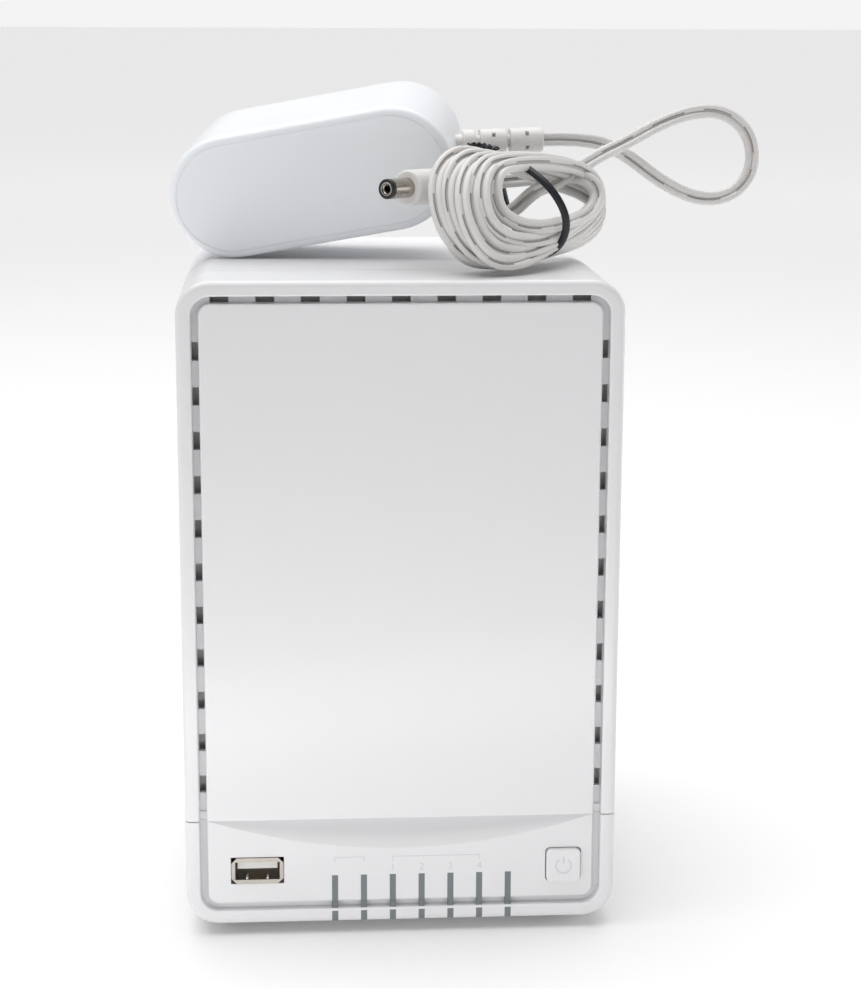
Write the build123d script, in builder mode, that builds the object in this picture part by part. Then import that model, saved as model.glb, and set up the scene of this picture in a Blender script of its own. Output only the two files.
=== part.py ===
from build123d import *
import math
import os

# A two-drive network video recorder with its wall power adapter and wound output cord.
# Millimetres. The origin is on the surface that the recorder stands on, below the middle
# of its body. X runs to the right as seen from the front, Y to the back and Z up.

os.makedirs("parts", exist_ok=True)

# Recorder body, sized round its two drives: 121 wide, 126 deep and 182 tall
drive_side_clearance = 4.2
drive_front_room = 20.2
drive_rear_clearance = 2.0
drive_under_room = 24.6
drive_top_clearance = 8.2
foot_height = 3.4
wall = 2.2
body_corner = 9.3
edge_round = 1.8
rear_round = 3.0
cover_depth = 27.0
front_half_depth = 57.0
seam_height = 34.1
seam_gap = 0.3
slip_gap = 0.25
rear_inset = 0.3

# Front face: rim, vent channel, raised door panel and lower strip
rim_width = 4.1
channel_width = 2.0
channel_depth = 3.0
door_setback = 0.2
strip_setback = 0.7
skin = 2.2
inner_round = 0.6
vent_length = 5.0
top_vent_margin = 5.6
side_vent_margin = 19.1
vent_rows = 11
vent_columns = 9
lowest_vent_above_seam = 10.2
scoop_height = 9.0
scoop_depth = 4.2
floor_slot_pitch = 9.0
floor_slot_length = 22.0
floor_slot_width = 2.4
quarter_turn = 90

# Front controls
usb_x = -40.5
control_z = 19.2
usb_flange_width = 14.6
usb_flange_height = 7.6
usb_flange_thickness = 0.5
usb_shell_width = 13.1
usb_shell_height = 5.8
usb_shell_wall = 0.3
usb_tongue_thickness = 1.9
led_count = 7
led_pitch = 8.17
last_led_x = 30.3
led_width = 1.75
led_top = 17.3
guide_thickness = 1.2
guide_prong_height = 3.0
button_x = 46.0
button_size = 9.7
button_corner = 1.4
button_proud = 1.5
button_gap = 0.25
button_travel = 0.6
button_flange = 1.2
flange_thickness = 1.0

# Front board, standing behind the lower strip
front_board_y = -47.6
front_board_thickness = 1.6
front_board_margin = 6.5
front_board_bottom = 7.0
front_board_top = 29.5
led_size = (1.6, 3.0, 1.2)
led_air = 0.3
front_boss_radius = 2.4
front_pilot_radius = 1.05
front_boss_bore = 8.0
front_boss_places = ((-50.0, 10.5), (-26.0, 10.5), (36.0, 10.5))
switch_size = 6.0
switch_depth = 3.5
plunger_radius = 1.7
plunger_gap = 0.1

# Cover fixing studs
stud_radius = 2.0
stud_socket_radius = 2.15
stud_boss_radius = 4.2
stud_side_margin = 10.5
stud_above_seam = 7.9
stud_top_margin = 11.4
cover_air = 2.5
stud_boss_proud = 1.5
tongue_thickness = 1.6
frame_plate = 2.0
window_side_margin = 16.5
window_above_seam = 13.9
window_top_margin = 17.4

# Drives, standing on end with their boards to the middle
drive_thickness = 26.1
drive_depth = 101.6
drive_length = 147.0
drive_inner_x = 28.0
drive_board_thickness = 1.2
drive_board_pocket = 1.8
drive_cover_thickness = 0.8
drive_hole_edge = 3.175
drive_hole_along = 76.2
drive_hole_low = 28.5

# Drive cage of folded sheet steel
cage_sheet = 1.0
cage_under = 5.0
cage_over = 3.2
cage_edge = 0.3
bridge_front = -12.0
bridge_back = 26.0
tab_length = 13.0
post_margin = 12.0
post_front_y = -26.0
post_back_y = 36.0
post_radius = 3.6
m3_radius = 1.5
m3_hole_radius = 1.6
pan_head_radius = 2.8
pan_head_height = 1.8

# Main board, flat above the floor
board_thickness = 1.6
board_underside = 12.0
board_half_width = 42.0
board_front = -38.0
board_screw_x = 37.0
board_screw_front_y = -31.0
board_screw_back_margin = 17.0
board_post_radius = 3.2
pilot_radius = 1.55

# Rear wall: connectors and fan
jack_gap = 0.3
lan_size = (16.0, 13.4, 21.3)
lan_x = 4.0
rear_usb_size = (13.1, 15.3, 17.5)
rear_usb_x = -18.0
dc_size = (9.0, 11.0, 14.0)
dc_x = 30.0
dc_hole_radius = 2.95
dc_pin_radius = 1.05
reset_x = 17.6
reset_hole_radius = 1.1
reset_plunger_radius = 0.9
reset_travel = 0.4
fan_size = 50.0
fan_thickness = 15.0
fan_bore_radius = 24.0
fan_hole_spacing = 40.0
fan_z = 112.0
fan_hub_radius = 11.0
fan_tip_gap = 0.8
fan_blades = 7
fan_shaft_radius = 1.5
shaft_gap = 0.05
grille_ring = 2.6
grille_slot = 3.0
grille_slots = 3

# Housing screws, in deep tubes along the four corners
tube_radius = 3.6
screw_well_radius = 2.5
housing_screw_radius = 1.25
housing_screw_length = 14.0
housing_head_radius = 2.3
housing_head_height = 2.0

# Feet
foot_radius = 6.5
foot_side_margin = 15.5
foot_end_margin = 17.0
foot_seat = 0.8

# Wall power adapter, lying tilted on the recorder
adapter_face_centre = (-23.6, -12.8, 207.35)
adapter_yaw = 7.7
adapter_pitch = 7.8
adapter_roll = 10.6
adapter_length = 82.9
adapter_height = 35.8
adapter_thickness = 48.0
adapter_wall = 3.2
adapter_edge = 2.0
adapter_rear_edge = 4.0
adapter_lid_margin = 2.1
adapter_lid_thickness = 2.0
adapter_groove = 0.3
blade_length = 16.5
blade_width = 6.3
blade_thickness = 1.5
blade_spacing = 12.7
blade_root = 5.0
blade_x = -13.0
adapter_board_depth = 41.8
adapter_board_size = (56.0, 24.0, 1.6)
adapter_pin_x = 24.0
transformer_size = (18.0, 20.0, 15.0)
adapter_capacitor_radius = 5.0
adapter_capacitor_length = 18.0

# Cord and plug
cord_diameter = 3.2
relief_radius = 3.75
relief_core_radius = 2.7
relief_neck_radius = 2.5
relief_step = 1.5
relief_direction = (0.995, 0.085, 0.035)
relief_segments = ((0.0, 3.7), (5.2, 12.9), (14.1, 23.9))
barrel_radius = 2.75
barrel_bore_radius = 1.25
barrel_length = 9.5
plug_tip = (-3.4, -46.0, 208.4)
plug_direction = (0.64, 0.77, -0.02)
plug_body_radius = 4.9
plug_body_length = 14.0
plug_relief_radius = 2.6
plug_relief_length = 6.0
tip_ring_length = 1.2

# Wound hank: figure-of-eight turns round a long axis, drawn in at a tied waist
hank_near = (24.7, -49.9, 204.9)
hank_far = (58.8, 12.0, 199.6)
hank_start = -0.25
hank_end = 5.625
hank_middle = 2.64
half_widths = (15.8, 2.7, 9.85)
end_roundness = 0.12
turn_pitches = (5.0, 4.14, 3.88)
hank_lean = (-11, 88)
hank_roll = (12, 85)
hank_fan = 2.3
hank_taper = 0.04
arcs_per_turn = 8
tie_half_length = 16.4
tie_half_width = 5.4
tie_thickness = 0.9
tie_width = 2.0
tie_shift = -2.2
tie_ends = (9.0, 2.0, 1.4)

# Sizes, levels and planes that follow from the values above
drive_outer_x = drive_inner_x + drive_thickness
body_width = 2 * (drive_outer_x + drive_side_clearance + wall)
body_depth = drive_front_room + drive_depth + drive_rear_clearance + wall
body_height = drive_under_room + drive_length + drive_top_clearance + wall
front_y = -body_depth / 2
back_y = body_depth / 2
body_bottom = foot_height
body_top = foot_height + body_height
middle_z = body_bottom + body_height / 2
cover_back_y = front_y + cover_depth
split_y = front_y + front_half_depth
channel_floor_y = front_y + channel_depth
inside_front_y = channel_floor_y + wall - 0.4
inner_half_width = body_width / 2 - wall
inner_width = body_width - 2 * wall
floor_z = body_bottom + wall
ceiling_z = body_top - wall
door_face_y = front_y + door_setback
strip_face_y = front_y + strip_setback
rear_inner_y = back_y - wall
drive_front = front_y + drive_front_room
drive_hole_across = drive_depth - 2 * drive_hole_edge
drive_bottom = body_bottom + drive_under_room
cage_bottom = drive_bottom - cage_under
cage_top = drive_bottom + drive_length + cage_over
cage_front = drive_front + cage_edge
cage_back = drive_front + drive_depth - cage_edge
post_x = body_width / 2 - post_margin
foot_x = body_width / 2 - foot_side_margin
foot_y = body_depth / 2 - foot_end_margin
board_back = rear_inner_y - 0.4
board_screw_back_y = back_y - board_screw_back_margin
board_top = board_underside + board_thickness


def facing_front(y):
    """A plane at depth y that faces the viewer, with X to the right and Z up."""
    return Plane.XZ.offset(-y)


def save(part, name):
    part.label = name
    export_step(part, f"parts/{name}.step")


def export(builder, name):
    save(builder.part, name)


def body_outline(inset=0.0, mode=Mode.ADD):
    """The body's rounded outline seen from the front, drawn in all round by an inset."""
    with Locations((0, middle_z)):
        RectangleRounded(
            body_width - 2 * inset, body_height - 2 * inset, body_corner - inset, mode=mode
        )


panel_inset = rim_width + channel_width
panel_half_width = body_width / 2 - panel_inset


def form_front(shell, setback):
    """Cut the channel and set the panel back inside it, then soften the front edges."""
    with BuildSketch(facing_front(front_y)) as channel:
        body_outline(rim_width)
        body_outline(panel_inset, mode=Mode.SUBTRACT)
    extrude(channel.sketch, amount=-channel_depth, mode=Mode.SUBTRACT)
    with BuildSketch(facing_front(front_y)) as panel_face:
        body_outline(panel_inset)
    extrude(panel_face.sketch, amount=-setback, mode=Mode.SUBTRACT)
    rim = shell.faces().sort_by(Axis.Y)[0]
    fillet(rim.outer_wire().edges(), edge_round)
    rim = shell.faces().sort_by(Axis.Y)[0]
    fillet(rim.inner_wires()[0].edges(), inner_round)
    panel = shell.faces().filter_by(Axis.Y).sort_by(Axis.Y)[1]
    fillet(panel.outer_wire().edges(), inner_round)


def hollow_panel(setback):
    """Thin the panel from behind to one skin."""
    with BuildSketch(facing_front(inside_front_y)) as pocket:
        body_outline(panel_inset + skin)
    depth = inside_front_y - front_y - setback - skin
    extrude(pocket.sketch, amount=depth, mode=Mode.SUBTRACT)


# Front cover: the rim, vent channel and door panel above the seam, which pulls off forwards
cover_bottom = seam_height + seam_gap / 2
shelf_top = seam_height - seam_gap / 2
tongue_front_y = inside_front_y + cover_air
tongue_length = cover_back_y - tongue_front_y
stud_boss_length = frame_plate + stud_boss_proud
tongue_inset = wall + slip_gap
stud_x = body_width / 2 - stud_side_margin
stud_low_z = seam_height + stud_above_seam
stud_high_z = body_top - stud_top_margin
stud_places = [(x, z) for x in (-stud_x, stud_x) for z in (stud_low_z, stud_high_z)]
stud_end_y = tongue_front_y + frame_plate + 1.0
channel_x = panel_half_width + channel_width / 2
first_vent_z = seam_height + lowest_vent_above_seam
side_vent_pitch = (body_top - side_vent_margin - first_vent_z) / (vent_rows - 1)
top_vent_pitch = 2 * (panel_half_width - top_vent_margin) / (vent_columns - 1)
side_vents = [
    (x, first_vent_z + row * side_vent_pitch) for x in (-channel_x, channel_x) for row in range(vent_rows)
]
top_vents = [
    ((column - (vent_columns - 1) / 2) * top_vent_pitch, body_top - rim_width - channel_width / 2)
    for column in range(vent_columns)
]
vent_width = channel_width - 0.2

with BuildPart() as front_cover:
    with BuildSketch(facing_front(front_y)):
        body_outline()
    extrude(amount=-(cover_depth - seam_gap / 2))
    form_front(front_cover, door_setback)
    with BuildSketch(facing_front(cover_back_y)):
        body_outline(wall)
    extrude(amount=cover_back_y - inside_front_y, mode=Mode.SUBTRACT)
    hollow_panel(door_setback)
    with BuildSketch(facing_front(channel_floor_y)):
        with Locations(*side_vents):
            Rectangle(vent_width, vent_length)
        with Locations(*top_vents):
            Rectangle(vent_length, vent_width)
    extrude(amount=-(inside_front_y - channel_floor_y), mode=Mode.SUBTRACT)
    split(bisect_by=Plane.XY.offset(cover_bottom), keep=Keep.TOP)
    lip_front_y = door_face_y + skin
    lip_back_y = tongue_front_y - 1.0
    with BuildSketch(Plane.XY.offset(cover_bottom)):
        with Locations((0, (lip_front_y + lip_back_y) / 2)):
            Rectangle(inner_width, lip_back_y - lip_front_y)
    extrude(amount=skin)
    with BuildSketch(facing_front(door_face_y + skin)):
        with Locations(*stud_places):
            Circle(stud_radius)
    extrude(amount=-(stud_end_y - door_face_y - skin))

export(front_cover, "front_cover")

# Tongue and frame plate inside the cover, part of the front housing
tongue_root = 4.0
window_half_width = body_width / 2 - window_side_margin
window_bottom = seam_height + window_above_seam
window_top = body_top - window_top_margin
shelf_thickness = skin
shelf_underside = shelf_top - shelf_thickness

with BuildPart() as cover_seat:
    with BuildSketch(facing_front(tongue_front_y)):
        body_outline(tongue_inset)
        body_outline(tongue_inset + tongue_thickness, mode=Mode.SUBTRACT)
    extrude(amount=-(tongue_length + tongue_root))
    with BuildSketch(facing_front(cover_back_y + seam_gap / 2)):
        body_outline(wall - slip_gap)
        body_outline(tongue_inset + tongue_thickness, mode=Mode.SUBTRACT)
    extrude(amount=-(tongue_root - seam_gap / 2))
    with BuildSketch(facing_front(tongue_front_y)):
        body_outline(tongue_inset)
        with Locations((0, (window_bottom + window_top) / 2)):
            Rectangle(2 * window_half_width, window_top - window_bottom, mode=Mode.SUBTRACT)
    extrude(amount=-frame_plate)
    with BuildSketch(facing_front(tongue_front_y + frame_plate)):
        with Locations(*stud_places):
            Circle(stud_boss_radius)
    extrude(amount=stud_boss_length)
    with BuildSketch(facing_front(tongue_front_y + frame_plate)):
        with Locations(*stud_places):
            Circle(stud_socket_radius)
    extrude(amount=stud_boss_length, mode=Mode.SUBTRACT)
    split(bisect_by=Plane.XY.offset(shelf_underside), keep=Keep.TOP)

# The finger scoop under the door: a large ball cuts the strip, with one skin behind it
scoop_half_width = panel_half_width - 0.4
scoop_circle = (scoop_half_width**2 + scoop_height**2) / (2 * scoop_height)
scoop_chord = scoop_circle - scoop_height
scoop_reach = (scoop_circle**2 - scoop_chord**2) / scoop_depth
scoop_radius = math.hypot((scoop_reach + scoop_depth) / 2, scoop_chord)
scoop_centre = (
    0,
    strip_face_y - math.sqrt(scoop_radius**2 - scoop_circle**2),
    seam_height + scoop_chord,
)
scoop_ball = Pos(*scoop_centre) * Sphere(scoop_radius)
scoop_cut = split(scoop_ball, bisect_by=Plane.XY.offset(shelf_top), keep=Keep.BOTTOM)
backing_depth = scoop_depth + 2 * skin
backing_height = scoop_height + 2 * skin
scoop_backing = (Pos(*scoop_centre) * Sphere(scoop_radius + skin)) & (
    Pos(0, strip_face_y + skin / 2 + backing_depth / 2, shelf_top - backing_height / 2)
    * Box(2 * panel_half_width, backing_depth, backing_height)
)

# Light bars, from the strip down over the rim to the underside
led_places = [last_led_x - led_pitch * (led_count - 1 - number) for number in range(led_count)]
panel_bottom_z = body_bottom + panel_inset
rim_top_z = body_bottom + rim_width
bar_back_y = strip_face_y + guide_thickness
bridge_y = front_y + channel_width / 2


def light_bar_section(x):
    """Side view of a light bar, on a plane across X."""
    with BuildSketch(Plane.YZ.offset(x)) as section:
        with BuildLine():
            Polyline(
                (front_y + edge_round, body_bottom),
                (front_y + edge_round, rim_top_z - inner_round),
                (bar_back_y, rim_top_z),
                (bar_back_y, led_top),
                (strip_face_y, led_top),
                (strip_face_y, panel_bottom_z),
                (bridge_y, panel_bottom_z - inner_round),
                (bridge_y, rim_top_z + inner_round),
                (front_y, rim_top_z - inner_round),
                (front_y, body_bottom + edge_round),
            )
            JernArc(
                (front_y, body_bottom + edge_round), (0, -1), edge_round, quarter_turn
            )
        make_face()
    return section.sketch


# Screw tubes, posts and foot seats, shared by both halves of the housing
tube_inset = tube_radius + 0.4
tube_x = inner_half_width - tube_inset
tube_low_z = floor_z + tube_inset
tube_high_z = ceiling_z - tube_inset
tube_places = [(x, z) for x in (-tube_x, tube_x) for z in (tube_low_z, tube_high_z)]
front_tube_length = housing_screw_length + 8.0
screw_gap = 0.1


def floor_posts(x, y, radius, top):
    """Two hollow posts on the floor, one each side, for self-tapping screws."""
    with BuildSketch(Plane.XY.offset(floor_z)) as posts:
        with Locations((-x, y), (x, y)):
            Circle(radius)
    extrude(posts.sketch, amount=top - floor_z)
    with BuildSketch(Plane.XY.offset(floor_z)) as pilots:
        with Locations((-x, y), (x, y)):
            Circle(pilot_radius)
    extrude(pilots.sketch, amount=top - floor_z, mode=Mode.SUBTRACT)


def foot_seats(y):
    """Two shallow round recesses for the feet."""
    with BuildSketch(Plane.XY.offset(body_bottom)) as seats:
        with Locations((-foot_x, y), (foot_x, y)):
            Circle(foot_radius)
    extrude(seats.sketch, amount=foot_seat, mode=Mode.SUBTRACT)


def floor_slots(y):
    """Air slots in the floor, across the middle."""
    slot_places = [((number - 2) * floor_slot_pitch, y) for number in range(5)]
    with BuildSketch(Plane.XY.offset(body_bottom)) as slots:
        with Locations(*slot_places):
            SlotOverall(floor_slot_length, floor_slot_width, rotation=90)
    extrude(slots.sketch, amount=wall, mode=Mode.SUBTRACT)


usb_hole_gap = 0.15
button_hole = button_size + 2 * button_gap
strip_back_y = strip_face_y + skin

with BuildPart() as front_housing:
    with BuildSketch(facing_front(front_y)):
        body_outline()
    extrude(amount=-front_half_depth)
    form_front(front_housing, strip_setback)
    with BuildSketch(facing_front(split_y)):
        body_outline(wall)
    extrude(amount=split_y - inside_front_y, mode=Mode.SUBTRACT)
    hollow_panel(strip_setback)
    with BuildSketch(Plane.XY.offset(shelf_top)):
        with Locations((0, front_y)):
            Rectangle(
                body_width, cover_depth + seam_gap / 2, align=(Align.CENTER, Align.MIN)
            )
    extrude(amount=body_top - shelf_top, mode=Mode.SUBTRACT)
    with BuildSketch(Plane.XY.offset(shelf_underside)):
        with Locations((0, strip_back_y)):
            Rectangle(
                inner_width, tongue_front_y + frame_plate - strip_back_y,
                align=(Align.CENTER, Align.MIN),
            )
    extrude(amount=shelf_thickness)
    add(cover_seat.part)
    add(scoop_backing)
    add(scoop_cut, mode=Mode.SUBTRACT)
    with BuildSketch(facing_front(front_y)):
        with Locations((usb_x, control_z)):
            Rectangle(usb_flange_width + 2 * usb_hole_gap, usb_flange_height + 2 * usb_hole_gap)
        with Locations((button_x, control_z)):
            RectangleRounded(button_hole, button_hole, button_corner)
    extrude(amount=-(inside_front_y - front_y), mode=Mode.SUBTRACT)
    for x in led_places:
        extrude(light_bar_section(x - led_width / 2), amount=led_width, mode=Mode.SUBTRACT)
        with BuildSketch(facing_front(bar_back_y)):
            with Locations((x, led_top - guide_prong_height / 2)):
                Rectangle(led_width, guide_prong_height)
        extrude(amount=bar_back_y - inside_front_y, mode=Mode.SUBTRACT)
    with BuildSketch(facing_front(split_y)):
        with Locations(*tube_places):
            Circle(tube_radius)
    extrude(amount=front_tube_length)
    with BuildSketch(facing_front(split_y)):
        with Locations(*tube_places):
            Circle(housing_screw_radius + screw_gap)
    extrude(amount=front_tube_length - wall, mode=Mode.SUBTRACT)
    floor_posts(board_screw_x, board_screw_front_y, board_post_radius, board_underside)
    floor_posts(post_x, post_front_y, post_radius, cage_bottom)
    foot_seats(-foot_y)
    floor_slots(split_y - 14.0)
    with BuildSketch(facing_front(front_board_y)):
        with Locations(*front_boss_places):
            Circle(front_boss_radius)
    extrude(amount=front_board_y - strip_back_y)
    with BuildSketch(facing_front(front_board_y)):
        with Locations(*front_boss_places):
            Circle(front_pilot_radius)
    extrude(amount=front_boss_bore, mode=Mode.SUBTRACT)

export(front_housing, "front_housing")

# Rear half of the housing, screwed to the front half from behind
screw_seat_y = 0.0
screw_well_depth = back_y - screw_seat_y
half_spacing = fan_hole_spacing / 2
fan_screw_places = [
    (x, fan_z + z) for x in (-half_spacing, half_spacing) for z in (-half_spacing, half_spacing)
]
rear_openings = [(lan_x, lan_size), (rear_usb_x, rear_usb_size), (dc_x, dc_size)]
reset_z = board_top + switch_size / 2
grille_centre_radius = 7.0
countersink_radius = 3.1
countersink_depth = 1.2
spoke_angles = (45, 135)

with BuildPart() as rear_housing:
    with BuildSketch(facing_front(split_y)):
        body_outline(rear_inset)
    extrude(amount=split_y - back_y)
    back_face = rear_housing.faces().sort_by(Axis.Y)[-1]
    fillet(back_face.outer_wire().edges(), rear_round)
    with BuildSketch(facing_front(split_y)):
        body_outline(wall)
    extrude(amount=split_y - rear_inner_y, mode=Mode.SUBTRACT)
    floor_posts(board_screw_x, board_screw_back_y, board_post_radius, board_underside)
    floor_posts(post_x, post_back_y, post_radius, cage_bottom)
    with BuildSketch(facing_front(split_y)):
        with Locations(*tube_places):
            Circle(tube_radius)
    extrude(amount=split_y - rear_inner_y)
    with BuildSketch(facing_front(split_y)):
        with Locations(*tube_places):
            Circle(housing_screw_radius + screw_gap)
    extrude(amount=split_y - back_y, mode=Mode.SUBTRACT)
    with BuildSketch(facing_front(screw_seat_y)):
        with Locations(*tube_places):
            Circle(screw_well_radius)
    extrude(amount=-screw_well_depth, mode=Mode.SUBTRACT)
    with BuildSketch(facing_front(rear_inner_y)):
        for number in reversed(range(grille_slots)):
            slot_inside = grille_centre_radius + number * (grille_slot + grille_ring)
            with Locations((0, fan_z)):
                Circle(slot_inside + grille_slot)
                Circle(slot_inside, mode=Mode.SUBTRACT)
        with Locations((0, fan_z)):
            for angle in spoke_angles:
                Rectangle(fan_size, grille_ring, rotation=angle, mode=Mode.SUBTRACT)
    extrude(amount=-wall, mode=Mode.SUBTRACT)
    with BuildSketch(facing_front(rear_inner_y)):
        with Locations(*fan_screw_places):
            Circle(m3_hole_radius)
        for x, size in rear_openings:
            with Locations((x, board_top + size[1] / 2)):
                Rectangle(size[0] + 2 * jack_gap, size[1] + 2 * jack_gap)
        with Locations((reset_x, reset_z)):
            Circle(reset_hole_radius)
    extrude(amount=-wall, mode=Mode.SUBTRACT)
    with BuildSketch(facing_front(back_y - countersink_depth)):
        with Locations(*fan_screw_places):
            Circle(countersink_radius)
    extrude(amount=-countersink_depth, mode=Mode.SUBTRACT)
    foot_seats(foot_y)
    floor_slots(split_y + 18.0)

export(rear_housing, "rear_housing")

with BuildPart() as housing_screws:
    with BuildSketch(facing_front(screw_seat_y)):
        with Locations(*tube_places):
            Circle(housing_head_radius)
    extrude(amount=-housing_head_height)
    with BuildSketch(facing_front(screw_seat_y)):
        with Locations(*tube_places):
            Circle(housing_screw_radius)
    extrude(amount=housing_screw_length)

export(housing_screws, "housing_screws")

with BuildPart() as rubber_feet:
    with BuildSketch():
        with Locations(*[(x, y) for x in (-foot_x, foot_x) for y in (-foot_y, foot_y)]):
            Circle(foot_radius)
    extrude(amount=body_bottom + foot_seat)
    sole_edges = rubber_feet.edges().group_by(Axis.Z)[0]
    fillet(sole_edges, inner_round)

export(rubber_feet, "rubber_feet")

# Drive cage: one folded sheet with two side plates, a bridge on top and four screw tabs
drive_middle_y = drive_front + drive_depth / 2
drive_hole_ys = (drive_middle_y - drive_hole_across / 2, drive_middle_y + drive_hole_across / 2)
drive_hole_zs = (drive_bottom + drive_hole_low, drive_bottom + drive_hole_low + drive_hole_along)
drive_hole_places = [(y, z) for y in drive_hole_ys for z in drive_hole_zs]
socket_front_y = -10.0
socket_back_y = 25.0
socket_middle_y = (socket_front_y + socket_back_y) / 2
notch_margin = 3.0
rear_notch_depth = 12.0
rear_notch_height = 4.0
tab_outer_x = drive_outer_x - 0.1
lightening_size = (26.0, 30.0)
lightening_places = [
    (drive_front + y, drive_bottom + z) for y in (32.8, 68.8) for z in (52.0, 94.0, 130.0)
]

with BuildPart() as drive_cage:
    with BuildSketch(Plane.YZ.offset(-drive_inner_x)):
        with Locations(((cage_front + cage_back) / 2, (cage_bottom + cage_top) / 2)):
            Rectangle(cage_back - cage_front, cage_top - cage_bottom)
        with Locations((socket_middle_y, cage_bottom)):
            Rectangle(
                socket_back_y - socket_front_y + 2 * notch_margin,
                2 * (drive_bottom - cage_bottom + 1.0),
                mode=Mode.SUBTRACT,
            )
        with Locations((cage_back, cage_bottom)):
            Rectangle(2 * rear_notch_depth, 2 * rear_notch_height, mode=Mode.SUBTRACT)
        with Locations(*lightening_places):
            RectangleRounded(*lightening_size, 4.0, mode=Mode.SUBTRACT)
        with Locations(*drive_hole_places):
            Circle(m3_hole_radius, mode=Mode.SUBTRACT)
    extrude(amount=cage_sheet)
    mirror(about=Plane.YZ)
    with BuildSketch(Plane.XY.offset(cage_top - cage_sheet)):
        with Locations((0, (bridge_front + bridge_back) / 2)):
            Rectangle(2 * drive_inner_x, bridge_back - bridge_front)
    extrude(amount=cage_sheet)
    tab_width = tab_outer_x - drive_inner_x + cage_sheet
    tab_middle_x = tab_outer_x - tab_width / 2
    with BuildSketch(Plane.XY.offset(cage_bottom)):
        for y in (post_front_y, post_back_y):
            with Locations((-tab_middle_x, y), (tab_middle_x, y)):
                Rectangle(tab_width, tab_length)
            with Locations((-post_x, y), (post_x, y)):
                Circle(m3_hole_radius, mode=Mode.SUBTRACT)
    extrude(amount=cage_sheet)

export(drive_cage, "drive_cage")

post_places = [(x, y) for x in (-post_x, post_x) for y in (post_front_y, post_back_y)]
cage_screw_length = 9.0

with BuildPart() as cage_screws:
    with BuildSketch(Plane.XY.offset(cage_bottom + cage_sheet)):
        with Locations(*post_places):
            Circle(pan_head_radius)
    extrude(amount=pan_head_height)
    with BuildSketch(Plane.XY.offset(cage_bottom + cage_sheet)):
        with Locations(*post_places):
            Circle(m3_radius)
    extrude(amount=-cage_screw_length)

export(cage_screws, "cage_screws")

# Drives: a cast base, a cover plate on the outer face and a board on the inner face
drive_middle_z = drive_bottom + drive_length / 2
drive_base_depth = drive_thickness - drive_cover_thickness
drive_screw_depth = 3.0
pocket_front_y = drive_front + 8.8
pocket_back_y = drive_front + 92.8
pocket_top = drive_bottom + 94.0
board_tongue_length = 5.0
board_tongue_width = 30.0
drive_corner = 3.0


def drive_base(side):
    inner_plane = Plane.YZ.offset(side * drive_inner_x)
    with BuildPart() as base:
        with BuildSketch(inner_plane):
            with Locations((drive_middle_y, drive_middle_z)):
                RectangleRounded(drive_depth, drive_length, drive_corner)
        extrude(amount=side * drive_base_depth)
        with BuildSketch(inner_plane):
            with Locations(((pocket_front_y + pocket_back_y) / 2, (drive_bottom + pocket_top) / 2)):
                Rectangle(pocket_back_y - pocket_front_y, pocket_top - drive_bottom)
        extrude(amount=side * drive_board_pocket, mode=Mode.SUBTRACT)
        with BuildSketch(inner_plane):
            with Locations(*drive_hole_places):
                Circle(m3_radius)
        extrude(amount=side * (drive_screw_depth + 0.5), mode=Mode.SUBTRACT)
    return base.part


def drive_cover(side):
    with BuildPart() as cover:
        with BuildSketch(Plane.YZ.offset(side * (drive_outer_x - drive_cover_thickness))):
            with Locations((drive_middle_y, drive_middle_z)):
                RectangleRounded(drive_depth - 2.0, drive_length - 2.0, drive_corner)
        extrude(amount=side * drive_cover_thickness)
    return cover.part


def drive_board(side):
    """Board standing in the pocket, with an edge tongue that plugs into the socket below."""
    board_x = drive_inner_x + drive_board_pocket - drive_board_thickness
    with BuildPart() as board:
        with BuildSketch(Plane.YZ.offset(side * board_x)):
            with Locations(((pocket_front_y + pocket_back_y) / 2, (drive_bottom + pocket_top) / 2)):
                Rectangle(
                    pocket_back_y - pocket_front_y - 2.0, pocket_top - drive_bottom - 2.0
                )
            with Locations((socket_middle_y, drive_bottom)):
                Rectangle(board_tongue_width, 2 * board_tongue_length)
        extrude(amount=side * drive_board_thickness)
    return board.part


for side, side_name in ((-1, "left"), (1, "right")):
    save(drive_base(side), f"{side_name}_drive_base")
    save(drive_cover(side), f"{side_name}_drive_cover")
    save(drive_board(side), f"{side_name}_drive_board")

with BuildPart() as drive_screws:
    with BuildSketch(Plane.YZ.offset(drive_inner_x - cage_sheet)):
        with Locations(*drive_hole_places):
            Circle(pan_head_radius)
    extrude(amount=-pan_head_height)
    with BuildSketch(Plane.YZ.offset(drive_inner_x - cage_sheet)):
        with Locations(*drive_hole_places):
            Circle(m3_radius)
    extrude(amount=cage_sheet + drive_screw_depth)
    mirror(about=Plane.YZ)

export(drive_screws, "drive_screws")

# Main board and what is soldered on it
board_screw_places = [
    (x, y) for x in (-board_screw_x, board_screw_x) for y in (board_screw_front_y, board_screw_back_y)
]
board_screw_length = 7.0

with BuildPart() as main_board:
    with BuildSketch(Plane.XY.offset(board_underside)):
        with Locations((0, (board_front + board_back) / 2)):
            Rectangle(2 * board_half_width, board_back - board_front)
        with Locations(*board_screw_places):
            Circle(m3_hole_radius, mode=Mode.SUBTRACT)
    extrude(amount=board_thickness)

export(main_board, "main_board")

with BuildPart() as board_screws:
    with BuildSketch(Plane.XY.offset(board_top)):
        with Locations(*board_screw_places):
            Circle(pan_head_radius)
    extrude(amount=pan_head_height)
    with BuildSketch(Plane.XY.offset(board_top)):
        with Locations(*board_screw_places):
            Circle(m3_radius)
    extrude(amount=-board_screw_length)

export(board_screws, "board_screws")

socket_x = drive_inner_x + drive_board_pocket - drive_board_thickness / 2
socket_width = 6.0
socket_slot_gap = 0.1
socket_places = [(-socket_x, socket_middle_y), (socket_x, socket_middle_y)]

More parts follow.
